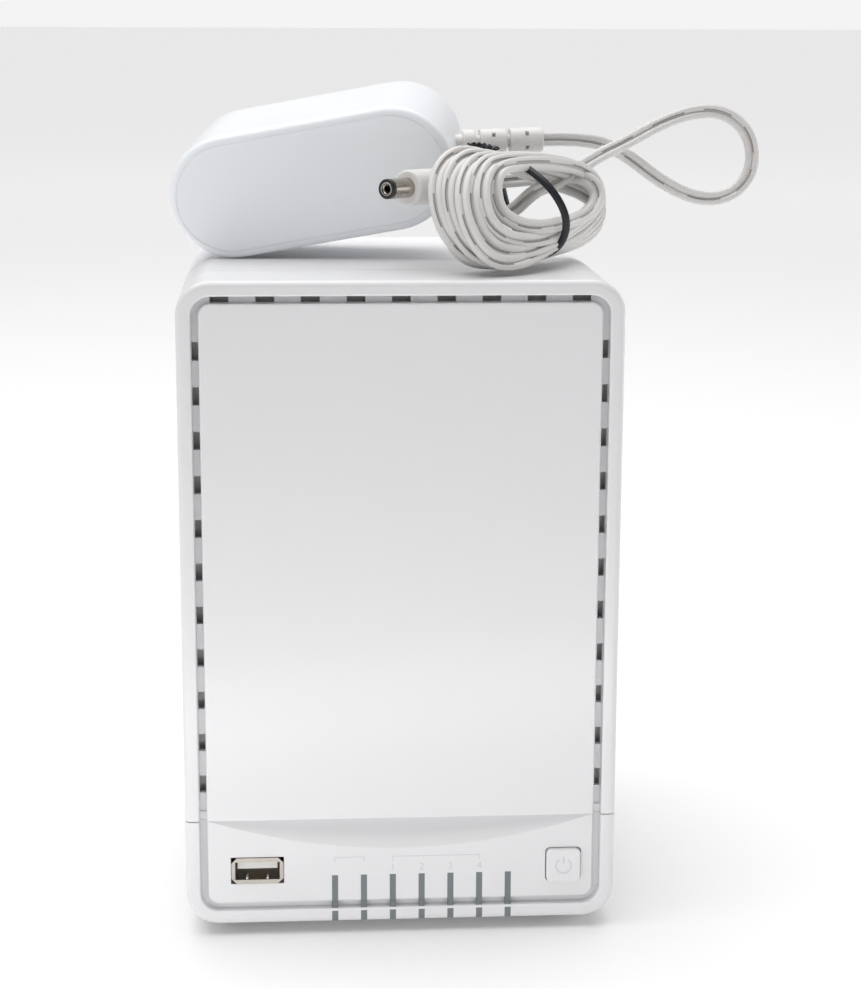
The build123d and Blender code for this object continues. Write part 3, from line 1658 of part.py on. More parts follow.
with BuildPart() as plug_barrel:
    with BuildSketch(plug_plane.offset(tip_ring_length)):
        Circle(barrel_radius)
        Circle(barrel_bore_radius, mode=Mode.SUBTRACT)
    extrude(amount=barrel_length - tip_ring_length)

export(plug_barrel, "plug_barrel")

with BuildPart() as plug_insulator:
    with BuildSketch(plug_plane):
        Circle(barrel_radius)
        Circle(barrel_bore_radius, mode=Mode.SUBTRACT)
    extrude(amount=tip_ring_length)
    fillet(plug_insulator.faces().sort_by(Axis.Y)[0].edges(), 0.3)

export(plug_insulator, "plug_insulator")

# Wire tie round the waist of the hank, with its two twisted ends
row_way = cross_directions(0.5, 0)[0]
tie_centre = near + hank_axis * (hank_length / 2) + row_way * tie_shift
tie_plane = Plane(origin=tie_centre, x_dir=row_way, z_dir=hank_axis).offset(-tie_width / 2)
tie_outer_length = 2 * (tie_half_length + tie_thickness)
tie_outer_width = 2 * (tie_half_width + tie_thickness)

with BuildPart() as cord_tie:
    with BuildSketch(tie_plane):
        SlotOverall(tie_outer_length, tie_outer_width)
        SlotOverall(2 * tie_half_length, 2 * tie_half_width, mode=Mode.SUBTRACT)
    extrude(amount=tie_width)
    with BuildSketch(tie_plane):
        with Locations((0, tie_outer_width / 2 - tie_thickness / 2)):
            Rectangle(tie_ends[1], tie_ends[0], align=(Align.CENTER, Align.MIN))
    extrude(amount=tie_ends[2])

export(cord_tie, "cord_tie")
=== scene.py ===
import math

import bmesh
import bpy
from mathutils import Matrix, Vector


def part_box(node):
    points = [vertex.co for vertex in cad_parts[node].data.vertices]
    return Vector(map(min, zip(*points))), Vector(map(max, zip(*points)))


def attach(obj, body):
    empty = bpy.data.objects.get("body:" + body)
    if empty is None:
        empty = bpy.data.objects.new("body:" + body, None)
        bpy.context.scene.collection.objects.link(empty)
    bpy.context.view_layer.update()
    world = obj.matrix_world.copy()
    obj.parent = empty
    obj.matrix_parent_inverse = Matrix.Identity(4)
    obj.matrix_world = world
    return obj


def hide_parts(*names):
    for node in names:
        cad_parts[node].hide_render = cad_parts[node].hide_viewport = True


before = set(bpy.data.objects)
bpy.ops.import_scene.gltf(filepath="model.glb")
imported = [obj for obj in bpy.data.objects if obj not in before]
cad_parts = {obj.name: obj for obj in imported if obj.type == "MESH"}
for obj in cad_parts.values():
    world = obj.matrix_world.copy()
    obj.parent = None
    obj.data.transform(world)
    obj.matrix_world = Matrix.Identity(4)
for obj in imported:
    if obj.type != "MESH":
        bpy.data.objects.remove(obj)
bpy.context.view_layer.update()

# Camera at the photograph's viewpoint: a little above the recorder and left of its middle,
# looking slightly down and to the right, with a long lens so that upright edges stay upright.
camera_place = Vector((-0.0327, -0.6493, 0.2537))
camera_pitch = 0.212
camera_yaw = 0.069
camera_roll = 0.004
focal_pixels = 2208.067
photo_height = 988

view_way = Vector((
    math.sin(camera_yaw) * math.cos(camera_pitch),
    math.cos(camera_yaw) * math.cos(camera_pitch),
    -math.sin(camera_pitch),
))
level_right = Vector((math.cos(camera_yaw), -math.sin(camera_yaw), 0))
level_up = level_right.cross(view_way)
camera_right = level_right * math.cos(camera_roll) + level_up * math.sin(camera_roll)
camera_up = level_up * math.cos(camera_roll) - level_right * math.sin(camera_roll)

camera_data = bpy.data.cameras.new("photo_camera")
camera_data.sensor_width = 36
camera_data.lens = focal_pixels * camera_data.sensor_width / photo_height
camera_data.clip_start = 0.01
camera = bpy.data.objects.new("photo_camera", camera_data)
bpy.context.scene.collection.objects.link(camera)
turned = Matrix((camera_right, camera_up, -view_way)).transposed().to_4x4()
camera.matrix_world = Matrix.Translation(camera_place) @ turned
bpy.context.scene.camera = camera

# Output cord: flat twin lead in warm grey-white vinyl, two round cores side by side. It
# leaves the adapter's strain relief in one loose loop and is wound by hand into a loose
# hank, broad side out, whose turns change from the first, outer one to the last, inner one.
core_radius = 0.00105
core_arc = 332
core_steps = 8
cord_front = Vector((-0.25, -1, 0.15))
straight_end = 0.012
relief_exit = Vector((0.045115, 0.006440, 0.219051))
relief_way = Vector((0.995, 0.085, 0.035)).normalized()
plug_tip = Vector((-0.0034, -0.0460, 0.2084))
plug_way = Vector((0.64, 0.77, -0.02)).normalized()
plug_length = 0.0295
hank_turns = (
    (0, (
        (40.2, -20.0, 206.1), (34.3, -22.7, 197.7), (25.1, -39.0, 195.8), (16.7, -43.0, 197.8),
        (14.9, -45.0, 193.6), (19.0, -43.0, 188.2), (31.4, -33.0, 186.8), (44.0, -17.0, 188.2),
        (54.3, -5.0, 188.4), (60.6, 4.0, 190.1), (60.4, 6.0, 198.2), (46.7, -9.0, 206.4),
    )),
    (1, (
        (21.7, -32.0, 217.8), (14.1, -40.0, 217.7), (9.3, -46.0, 211.9), (9.3, -50.0, 203.6),
        (12.5, -52.0, 195.1), (20.0, -48.0, 189.3), (30.8, -39.0, 187.7), (43.6, -25.0, 189.6),
        (54.9, -9.0, 190.8), (62.6, 2.0, 195.0), (60.9, 6.0, 203.0), (44.7, -9.0, 208.2),
    )),
    (3.6, (
        (25.3, -38.0, 216.5), (20.5, -46.0, 214.3), (17.5, -53.0, 207.6), (18.4, -56.0, 199.0),
        (22.4, -57.0, 191.8), (28.2, -56.0, 188.7), (35.8, -49.0, 189.6), (43.9, -34.0, 192.2),
        (54.6, -13.0, 193.8), (62.8, 0.0, 199.6), (60.1, 1.0, 208.6), (45.6, -15.0, 214.3),
    )),
    (5.6, (
        (29.3, -42.0, 215.7), (25.3, -47.0, 214.1), (23.6, -51.0, 208.8), (24.6, -53.0, 201.1),
        (30.0, -51.0, 196.1), (38.2, -44.0, 194.6), (45.3, -34.0, 195.2), (52.0, -21.0, 197.1),
        (58.4, -10.0, 200.2), (61.2, -4.0, 205.5), (56.3, -7.0, 211.8), (43.1, -21.0, 215.2),
    )),
    (6.84, (
        (35.9, -40.0, 212.6), (30.3, -44.0, 212.6), (27.9, -46.0, 208.9), (29.0, -47.0, 203.3),
        (35.0, -45.0, 200.1), (41.0, -41.0, 198.7), (46.7, -33.0, 198.8), (52.3, -21.0, 198.0),
        (58.0, -13.0, 199.6), (60.7, -8.0, 204.3), (57.0, -8.0, 209.5), (44.7, -23.0, 210.3),
    )),
)
points_per_turn = 12
first_point = -1
last_point = 82
slack = 0.0008
far_side_slack = 0.6
wander_side = 0.5
wander_side_pace = 8.2
wander_rise = 0.3
wander_rise_pace = 9.7


def hank_point(number):
    """A control point of the hank, between two listed turns, moved a little where it is slack."""
    turn = max(number / points_per_turn, 0)
    station = number % points_per_turn
    for (turn_before, before), (turn_after, after) in zip(hank_turns, hank_turns[1:]):
        if turn <= turn_after:
            break
    share = (turn - turn_before) / (turn_after - turn_before)
    place = Vector(before[station]).lerp(Vector(after[station]), share) / 1000
    half_turn = points_per_turn / 2
    near_side = math.sin(math.pi * (station - 0.5) / half_turn)
    far_side = -far_side_slack * math.sin(math.pi * (station - 1) / half_turn)
    wander = Vector((
        wander_side * math.sin(wander_side_pace * turn),
        math.cos(math.pi * turn),
        wander_rise * math.cos(wander_rise_pace * turn),
    ))
    return place + wander * (slack * max(0, near_side, far_side))


hank_points = [hank_point(number) for number in range(first_point, last_point + 1)]
tail_end = plug_tip + plug_way * plug_length
cord_points = [
    relief_exit,
    relief_exit + relief_way * straight_end,
    Vector((0.0690, 0.0110, 0.2160)),
    Vector((0.0820, 0.0140, 0.2060)),
    Vector((0.0940, 0.0174, 0.2004)),
    Vector((0.1040, 0.0200, 0.2008)),
    Vector((0.1106, 0.0215, 0.2063)),
    Vector((0.1120, 0.0220, 0.2147)),
    Vector((0.1084, 0.0213, 0.2226)),
    Vector((0.1006, 0.0196, 0.2270)),
    Vector((0.0910, 0.0170, 0.2266)),
    Vector((0.0805, 0.0130, 0.2230)),
    Vector((0.0700, 0.0060, 0.2180)),
    Vector((0.0600, -0.0030, 0.2145)),
    *hank_points,
    Vector((0.0470, -0.0040, 0.2088)),
    Vector((0.0350, -0.0095, 0.2082)),
    tail_end + plug_way * straight_end,
    tail_end,
]

section_data = bpy.data.curves.new("twin_lead_section", "CURVE")
section_data.dimensions = "2D"
section_line = section_data.splines.new("POLY")
section_points = []
for centre, first_angle in ((core_radius, -core_arc / 2), (-core_radius, 180 - core_arc / 2)):
    for step in range(core_steps + 1):
        angle = math.radians(first_angle + step * core_arc / core_steps)
        across = centre + core_radius * math.cos(angle)
        section_points.append((across, core_radius * math.sin(angle)))
section_line.points.add(len(section_points) - 1)
for point, (across, up) in zip(section_line.points, section_points):
    point.co = (across, up, 0, 1)
section_line.use_cyclic_u = True
section = bpy.data.objects.new("twin_lead_section", section_data)
bpy.context.scene.collection.objects.link(section)
section.hide_render = True
section.hide_viewport = True

cord_data = bpy.data.curves.new("output_cord", "CURVE")
cord_data.dimensions = "3D"
cord_data.resolution_u = 4
cord_data.bevel_mode = "OBJECT"
cord_data.bevel_object = section
cord_line = cord_data.splines.new("NURBS")
cord_line.points.add(len(cord_points) - 1)
for point, place in zip(cord_line.points, cord_points):
    point.co = (*place, 1)
cord_line.order_u = 3
cord_line.use_endpoint_u = True
cord_line.use_smooth = True
output_cord = bpy.data.objects.new("output_cord", cord_data)
bpy.context.scene.collection.objects.link(output_cord)


def turn_broad_side(piece, line, section_size, wanted_way):
    """Turn a flat strip about its own line, so that its broad side looks the wanted way."""
    bpy.context.view_layer.update()
    state = bpy.context.evaluated_depsgraph_get()
    bare = bpy.data.meshes.new_from_object(piece.evaluated_get(state))
    corners = [corner.co.copy() for corner in bare.vertices]
    bpy.data.meshes.remove(bare)
    rings = [corners[start:start + section_size] for start in range(0, len(corners), section_size)]
    middles = [sum(ring, Vector()) / section_size for ring in rings]
    half = section_size // 2
    turns = []
    for number, ring in enumerate(rings):
        after = middles[min(number + 1, len(rings) - 1)]
        along = (after - middles[max(number - 1, 0)]).normalized()
        broad = (sum(ring[:half], Vector()) - sum(ring[half:], Vector())).normalized()
        wanted = along.cross(wanted_way(middles[number])).normalized()
        turn = math.atan2(broad.cross(wanted).dot(along), broad.dot(wanted))
        if turns:
            turn += math.pi * round((turns[-1] - turn) / math.pi)
        turns.append(turn)
    last = len(line.points) - 1
    for number, point in enumerate(line.points):
        share = min(max((number - 0.5) / (last - 1), 0), 1)
        point.tilt = turns[round(share * (len(turns) - 1))]


turn_broad_side(output_cord, cord_line, len(section_points), lambda place: cord_front)
cord_data.use_fill_caps = True


def effect_group(name, inputs, outputs):
    """An empty shader node group with named sockets, and its two end nodes."""
    group = bpy.data.node_groups.new(name, "ShaderNodeTree")
    for label, kind, start in inputs:
        socket = group.interface.new_socket(label, in_out="INPUT", socket_type=kind)
        socket.default_value = start
    for label, kind in outputs:
        group.interface.new_socket(label, in_out="OUTPUT", socket_type=kind)
    return group, group.nodes.new("NodeGroupInput"), group.nodes.new("NodeGroupOutput")


roughness_swing = 0.08

moulded, moulded_in, moulded_out = effect_group(
    "moulded_surface",
    [
        ("Color", "NodeSocketColor", (0.8, 0.8, 0.8, 1)),
        ("Roughness", "NodeSocketFloat", 0.35),
        ("Grain Scale", "NodeSocketFloat", 900.0),
        ("Mottle", "NodeSocketFloat", 0.04),
    ],
    [("Color", "NodeSocketColor"), ("Roughness", "NodeSocketFloat"), ("Height", "NodeSocketFloat")],
)
place_node = moulded.nodes.new("ShaderNodeTexCoord")
grain = moulded.nodes.new("ShaderNodeTexNoise")
grain.inputs["Detail"].default_value = 3
cloud = moulded.nodes.new("ShaderNodeTexNoise")
cloud.inputs["Scale"].default_value = 45
cloud.inputs["Detail"].default_value = 4
cloud_span = moulded.nodes.new("ShaderNodeMapRange")
cloud_span.inputs["To Min"].default_value = -0.5
cloud_span.inputs["To Max"].default_value = 0.5
shade = moulded.nodes.new("ShaderNodeMath")
shade.operation = "MULTIPLY_ADD"
shade.inputs[2].default_value = 1.0
tinted = moulded.nodes.new("ShaderNodeMix")
tinted.data_type = "RGBA"
tinted.blend_type = "MULTIPLY"
tinted.inputs[0].default_value = 1.0
rough_add = moulded.nodes.new("ShaderNodeMath")
rough_add.operation = "MULTIPLY_ADD"
rough_add.inputs[1].default_value = roughness_swing
links = moulded.links
for texture in (grain, cloud):
    links.new(place_node.outputs["Object"], texture.inputs["Vector"])
links.new(moulded_in.outputs["Grain Scale"], grain.inputs["Scale"])
links.new(cloud.outputs["Fac"], cloud_span.inputs["Value"])
links.new(cloud_span.outputs["Result"], shade.inputs[0])
links.new(moulded_in.outputs["Mottle"], shade.inputs[1])
links.new(moulded_in.outputs["Color"], tinted.inputs[6])
links.new(shade.outputs[0], tinted.inputs[7])
links.new(tinted.outputs[2], moulded_out.inputs["Color"])
links.new(cloud_span.outputs["Result"], rough_add.inputs[0])
links.new(moulded_in.outputs["Roughness"], rough_add.inputs[2])
links.new(rough_add.outputs[0], moulded_out.inputs["Roughness"])
links.new(grain.outputs["Fac"], moulded_out.inputs["Height"])


def moulded_finish(name, colour, roughness, grain_scale=900.0, relief=0.00002, mottle=0.04):
    """A moulded plastic or vinyl: Principled BSDF fed by the moulded surface group."""
    material = bpy.data.materials.new(name)
    material.use_nodes = True
    tree = material.node_tree
    shader = tree.nodes["Principled BSDF"]
    surface = tree.nodes.new("ShaderNodeGroup")
    surface.node_tree = moulded
    surface.inputs["Color"].default_value = (*colour, 1)
    surface.inputs["Roughness"].default_value = roughness
    surface.inputs["Grain Scale"].default_value = grain_scale
    surface.inputs["Mottle"].default_value = mottle
    bump = tree.nodes.new("ShaderNodeBump")
    bump.inputs["Distance"].default_value = relief
    tree.links.new(surface.outputs["Color"], shader.inputs["Base Color"])
    tree.links.new(surface.outputs["Roughness"], shader.inputs["Roughness"])
    tree.links.new(surface.outputs["Height"], bump.inputs["Height"])
    tree.links.new(bump.outputs["Normal"], shader.inputs["Normal"])
    return material


def math_node(tree, operation, *values):
    """A Math node whose inputs after the first have the given values."""
    node = tree.nodes.new("ShaderNodeMath")
    node.operation = operation
    for place, value in enumerate(values, 1):
        node.inputs[place].default_value = value
    return node


cord_colour = (0.70, 0.685, 0.67)
stripe_colour = (0.30, 0.28, 0.26)
stripe_dashes = 62.0
dash_share = 0.62
stripe_place = 0.395
stripe_half_width = 0.022
# Painted shade: the base colour darkens to a dark brown-grey along the crease between the two
# cores. It is full in the middle of the crease and fades out to each side, standing in for the
# shade that falls into the crease.
core_count = 2.0
groove_place = 0.944
groove_half_width = 0.05
groove_edge = 0.13
groove_shade_strength = 0.75
groove_shade_colour = (0.34, 0.31, 0.28)

cord_vinyl = moulded_finish("cord_vinyl", cord_colour, 0.42, 700.0, 0.00003, 0.08)
tree = cord_vinyl.node_tree
shader = tree.nodes["Principled BSDF"]
surface = tree.nodes["Group"]
cord_map = tree.nodes.new("ShaderNodeUVMap")
cord_axes = tree.nodes.new("ShaderNodeSeparateXYZ")
dash_wave = math_node(tree, "MULTIPLY", stripe_dashes)
dash_turn = math_node(tree, "FRACT")
dash_mask = math_node(tree, "LESS_THAN", dash_share)
stripe_near = math_node(tree, "COMPARE", stripe_place, stripe_half_width)
stripe_both = math_node(tree, "MULTIPLY")
# Painted shade in the crease between the cores: a mask across the section, taken from the cord's
# UV, mixes the base colour towards the shade colour.
groove_wave = math_node(tree, "MULTIPLY", core_count)
groove_turn = math_node(tree, "FRACT")
groove_away = math_node(tree, "SUBTRACT", groove_place)
groove_reach = math_node(tree, "ABSOLUTE")
groove_shade_mask = tree.nodes.new("ShaderNodeMapRange")
groove_shade_mask.inputs["From Min"].default_value = groove_half_width
groove_shade_mask.inputs["From Max"].default_value = groove_edge
groove_shade_mask.inputs["To Min"].default_value = groove_shade_strength
groove_shade_mask.inputs["To Max"].default_value = 0.0
groove_shaded = tree.nodes.new("ShaderNodeMix")
groove_shaded.data_type = "RGBA"
groove_shaded.inputs[7].default_value = (*groove_shade_colour, 1)
striped = tree.nodes.new("ShaderNodeMix")
striped.data_type = "RGBA"
striped.inputs[7].default_value = (*stripe_colour, 1)
tree.links.new(cord_map.outputs["UV"], cord_axes.inputs[0])
tree.links.new(cord_axes.outputs["X"], dash_wave.inputs[0])
tree.links.new(dash_wave.outputs[0], dash_turn.inputs[0])
tree.links.new(dash_turn.outputs[0], dash_mask.inputs[0])
tree.links.new(cord_axes.outputs["Y"], stripe_near.inputs[0])
tree.links.new(dash_mask.outputs[0], stripe_both.inputs[0])
tree.links.new(stripe_near.outputs[0], stripe_both.inputs[1])
tree.links.new(stripe_both.outputs[0], striped.inputs[0])
tree.links.new(cord_axes.outputs["Y"], groove_wave.inputs[0])
tree.links.new(groove_wave.outputs[0], groove_turn.inputs[0])
tree.links.new(groove_turn.outputs[0], groove_away.inputs[0])
tree.links.new(groove_away.outputs[0], groove_reach.inputs[0])
tree.links.new(groove_reach.outputs[0], groove_shade_mask.inputs["Value"])
tree.links.new(groove_shade_mask.outputs["Result"], groove_shaded.inputs[0])
tree.links.new(surface.outputs["Color"], groove_shaded.inputs[6])
tree.links.new(groove_shaded.outputs[2], striped.inputs[6])
tree.links.new(striped.outputs[2], shader.inputs["Base Color"])
cord_data.materials.append(cord_vinyl)

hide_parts("cord_loop", "cord_hank", "cord_tail")
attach(output_cord, "power_adapter")

# Wire tie: a flat black plastic ribbon with a wire core along its middle, taken once round
# the hank where it is drawn in. Its two ends are twisted together behind the first turn.
tie_thickness = 0.0009
ribbon_half_width = 0.00105
tie_points = (
    (32.7, -31.0, 215.0), (37.6, -35.0, 212.5), (42.0, -38.0, 208.6), (45.3, -39.0, 204.0),
    (47.1, -39.0, 199.3), (46.7, -38.0, 194.5), (44.8, -34.0, 190.5), (42.0, -27.0, 187.8),
    (39.4, -17.0, 187.0), (37.2, -8.0, 190.8), (34.0, -6.0, 199.3), (31.5, -10.0, 208.3),
    (30.4, -18.0, 213.6), (30.1, -25.5, 216.3),
)
tie_middle = Vector((0.0380, -0.0225, 0.2010))
twist_start = Vector((0.0292, -0.0258, 0.2182))
twist_end = Vector((0.0205, -0.0288, 0.2195))
twist_radius = 0.00045
twist_pitch = 0.0036
twist_steps = 24
twist_size = 0.55

ribbon_section = bpy.data.curves.new("tie_section", "CURVE")
ribbon_section.dimensions = "2D"
ribbon_outline = ribbon_section.splines.new("POLY")
ribbon_points = [(1.0, -0.25), (1.0, 0.25), (0.35, 0.3), (0, 0.45), (-0.35, 0.3),
                 (-1.0, 0.25), (-1.0, -0.25), (-0.35, -0.3), (0, -0.45), (0.35, -0.3)]
ribbon_outline.points.add(len(ribbon_points) - 1)
for point, (across, up) in zip(ribbon_outline.points, ribbon_points):
    point.co = (across * ribbon_half_width, up * tie_thickness, 0, 1)
ribbon_outline.use_cyclic_u = True
ribbon = bpy.data.objects.new("tie_section", ribbon_section)
bpy.context.scene.collection.objects.link(ribbon)
ribbon.hide_render = True
ribbon.hide_viewport = True

tie_data = bpy.data.curves.new("wire_tie", "CURVE")
tie_data.dimensions = "3D"
tie_data.resolution_u = 4
tie_data.bevel_mode = "OBJECT"
tie_data.bevel_object = ribbon
tie_line = tie_data.splines.new("NURBS")
tie_line.points.add(len(tie_points) - 1)
for point, place in zip(tie_line.points, tie_points):
    point.co = (*(Vector(place) / 1000), 1)
tie_line.use_cyclic_u = True
tie_line.order_u = 3
wire_tie = bpy.data.objects.new("wire_tie", tie_data)
bpy.context.scene.collection.objects.link(wire_tie)
turn_broad_side(wire_tie, tie_line, len(ribbon_points), lambda place: place - tie_middle)
twist_way = (twist_end - twist_start).normalized()
twist_side = twist_way.cross(Vector((0, 0, 1))).normalized()
twist_up = twist_side.cross(twist_way)
for half_turn in (0, math.pi):
    end_line = tie_data.splines.new("NURBS")
    end_line.points.add(twist_steps)
    for number, point in enumerate(end_line.points):
        run = (twist_end - twist_start).length * number / twist_steps
        angle = 2 * math.pi * run / twist_pitch + half_turn
        offset = (twist_side * math.cos(angle) + twist_up * math.sin(angle)) * twist_radius
        point.co = (*(twist_start + twist_way * run + offset), 1)
        point.radius = twist_size
    end_line.order_u = 3
    end_line.use_endpoint_u = True

tie_plastic = moulded_finish("tie_plastic", (0.012, 0.014, 0.018), 0.34, 600.0, 0.00004)
tie_data.materials.append(tie_plastic)
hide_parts("cord_tie")
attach(wire_tie, "power_adapter")


def dress(material, *names):
    """Give one finish to the CAD pieces that are made of it."""
    for name in names:
        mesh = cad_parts[name].data
        mesh.materials.clear()
        mesh.materials.append(material)


# Strain relief: warm grey-white vinyl moulded over the cord's end, a short collar and two
# long ribs on a slim core, with small windows moulded through the long ribs so that it bends.
vinyl_moulding = moulded_finish("vinyl_moulding", (0.74, 0.73, 0.71), 0.4, 800.0, 0.00003)
relief_profile = (
    (-8.0, 0.0), (-8.0, 2.4), (0.0, 2.4), (0.0, 3.5), (0.25, 3.72), (3.45, 3.72), (3.7, 3.5),
    (3.7, 1.9), (5.2, 1.9), (5.2, 3.5), (5.45, 3.72), (8.5, 3.74), (9.6, 3.74), (12.65, 3.72),
    (12.9, 3.5), (12.9, 1.9), (14.1, 1.9), (14.1, 3.5), (14.35, 3.72), (18.4, 3.74),
    (19.5, 3.74), (23.6, 3.72), (23.88, 3.45), (23.88, 0.0),
)
relief_length = 0.0239
relief_steps = 32
window_angles = (22, -42, 158, -138)
window_runs = ((8.5, 9.6), (18.4, 19.5))
window_rim = 0.00012
window_depth = 0.0014
smooth_angle = 35


def turned_shape(build, profile, base, way, steps):
    """Spin a profile of (distance along, radius) in millimetres round a line."""
    side = way.cross(Vector((0, 0, 1))).normalized()
    corners = [
        build.verts.new(base + way * run / 1000 + side * radius / 1000) for run, radius in profile
    ]
    edges = [build.edges.new(pair) for pair in zip(corners, corners[1:])]
    bmesh.ops.spin(
        build, geom=corners + edges, cent=base, axis=way, angle=2 * math.pi, steps=steps,
        use_merge=True,
    )
    bmesh.ops.remove_doubles(build, verts=build.verts, dist=0.000005)


def finished_piece(name, build, material, body):
    """Turn a bmesh into a piece that wears one finish and rides on a body."""
    mesh = bpy.data.meshes.new(name)
    bmesh.ops.recalc_face_normals(build, faces=build.faces)
    build.to_mesh(mesh)
    build.free()
    mesh.materials.append(material)
    piece = bpy.data.objects.new(name, mesh)
    bpy.context.scene.collection.objects.link(piece)
    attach(piece, body)
    return piece


relief_base = relief_exit - relief_way * relief_length
relief_front = Vector((0, -1, 0.15))
relief_side = (relief_front - relief_way * relief_front.dot(relief_way)).normalized()
relief_up = relief_way.cross(relief_side)
if relief_up.z < 0:
    relief_up = -relief_up
relief = bmesh.new()
turned_shape(relief, relief_profile, relief_base, relief_way, relief_steps)
bmesh.ops.recalc_face_normals(relief, faces=relief.faces)
for start, end in window_runs:
    for window_angle in window_angles:
        window = []
        for face in relief.faces:
            reach = face.calc_center_median() - relief_base
            run = reach.dot(relief_way) * 1000
            angle = math.degrees(math.atan2(reach.dot(relief_up), reach.dot(relief_side)))
            if start < run < end and abs(angle - window_angle) < 180 / relief_steps * 2:
                window.append(face)
        bmesh.ops.inset_region(
            relief, faces=window, thickness=window_rim, depth=-window_depth
        )
for face in relief.faces:
    face.smooth = True
strain_relief = finished_piece("relief_ribs", relief, vinyl_moulding, "power_adapter")
strain_relief.data.set_sharp_from_angle(angle=math.radians(smooth_angle))
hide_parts("strain_relief")

# Plug: a grip of the same vinyl moulded on the cord's other end, round a hollow nickel barrel
# with a black ring at its tip and a sprung metal sleeve in its bore.
dress(vinyl_moulding, "plug_body")
sleeve_profile = ((0.9, 1.0), (0.35, 1.05), (0.02, 1.45), (-0.04, 1.75), (-0.02, 1.85), (0.3, 1.86))

metal, metal_in, metal_out = effect_group(
    "worked_metal",
    [
        ("Color", "NodeSocketColor", (0.6, 0.6, 0.6, 1)),
        ("Roughness", "NodeSocketFloat", 0.3),
        ("Stretch", "NodeSocketVector", (60, 900, 900)),
        ("Wear", "NodeSocketFloat", 0.2),
    ],
    [("Color", "NodeSocketColor"), ("Roughness", "NodeSocketFloat"), ("Height", "NodeSocketFloat")],
)
metal_place = metal.nodes.new("ShaderNodeTexCoord")
metal_scale = metal.nodes.new("ShaderNodeVectorMath")
metal_scale.operation = "MULTIPLY"
brushing = metal.nodes.new("ShaderNodeTexNoise")
brushing.inputs["Scale"].default_value = 1.0
brushing.inputs["Detail"].default_value = 4
tarnish = metal.nodes.new("ShaderNodeTexNoise")
tarnish.inputs["Scale"].default_value = 160
tarnish_share = metal.nodes.new("ShaderNodeMath")
tarnish_share.operation = "MULTIPLY"
metal_tint = metal.nodes.new("ShaderNodeMix")
metal_tint.data_type = "RGBA"
metal_tint.blend_type = "MULTIPLY"
metal_tint.inputs[7].default_value = (0.55, 0.52, 0.48, 1)
metal_rough = metal.nodes.new("ShaderNodeMath")
metal_rough.operation = "MULTIPLY_ADD"
metal_rough.inputs[1].default_value = 0.18
links = metal.links
links.new(metal_place.outputs["Object"], metal_scale.inputs[0])
links.new(metal_in.outputs["Stretch"], metal_scale.inputs[1])
links.new(metal_scale.outputs[0], brushing.inputs["Vector"])
links.new(metal_place.outputs["Object"], tarnish.inputs["Vector"])
links.new(tarnish.outputs["Fac"], tarnish_share.inputs[0])
links.new(metal_in.outputs["Wear"], tarnish_share.inputs[1])
links.new(tarnish_share.outputs[0], metal_tint.inputs[0])
links.new(metal_in.outputs["Color"], metal_tint.inputs[6])
links.new(metal_tint.outputs[2], metal_out.inputs["Color"])
links.new(brushing.outputs["Fac"], metal_rough.inputs[0])
links.new(metal_in.outputs["Roughness"], metal_rough.inputs[2])
links.new(metal_rough.outputs[0], metal_out.inputs["Roughness"])
links.new(brushing.outputs["Fac"], metal_out.inputs["Height"])


def metal_finish(name, colour, roughness, stretch=(60, 900, 900), wear=0.2, relief=0.00001):
    """A sheet, cast or turned metal: Principled BSDF fed by the worked metal group."""
    material = bpy.data.materials.new(name)
    material.use_nodes = True
    tree = material.node_tree
    shader = tree.nodes["Principled BSDF"]
    shader.inputs["Metallic"].default_value = 1.0
    surface = tree.nodes.new("ShaderNodeGroup")
    surface.node_tree = metal
    surface.inputs["Color"].default_value = (*colour, 1)
    surface.inputs["Roughness"].default_value = roughness
    surface.inputs["Stretch"].default_value = stretch
    surface.inputs["Wear"].default_value = wear
    bump = tree.nodes.new("ShaderNodeBump")
    bump.inputs["Distance"].default_value = relief
    tree.links.new(surface.outputs["Color"], shader.inputs["Base Color"])
    tree.links.new(surface.outputs["Roughness"], shader.inputs["Roughness"])
    tree.links.new(surface.outputs["Height"], bump.inputs["Height"])
    tree.links.new(bump.outputs["Normal"], shader.inputs["Normal"])
    return material


plated_pin = metal_finish("plated_pin", (0.52, 0.49, 0.44), 0.2, (300, 300, 900), 0.45)
dress(plated_pin, "plug_barrel", "mains_blades", "dc_jack_pin")
sleeve = bmesh.new()
turned_shape(sleeve, sleeve_profile, plug_tip, plug_way, relief_steps)
for face in sleeve.faces:
    face.smooth = True
finished_piece("plug_sleeve", sleeve, plated_pin, "power_adapter")

# Black plastics: one satin moulding for the plug's insulating ring, the power jack, the
# switches, the drive sockets, and the fan's frame and rotor.
black_plastic = moulded_finish(
    "black_plastic", (0.009, 0.009, 0.010), 0.3, 1100.0, 0.00002
)
dress(
    black_plastic, "plug_insulator", "dc_jack", "reset_switch", "power_switch", "power_plunger",
    "drive_sockets", "fan_frame", "fan_rotor",
)

# Wall power adapter: a flattened white polycarbonate case with a lid welded into its front,
# slightly bluish beside the recorder, with a fine satin skin.
adapter_plastic = moulded_finish(
    "adapter_plastic", (0.90, 0.925, 0.95), 0.34, 1400.0, 0.000015, 0.02
)
shader = adapter_plastic.node_tree.nodes["Principled BSDF"]
shader.inputs["Coat Weight"].default_value = 0.15
dress(adapter_plastic, "adapter_case", "adapter_lid")

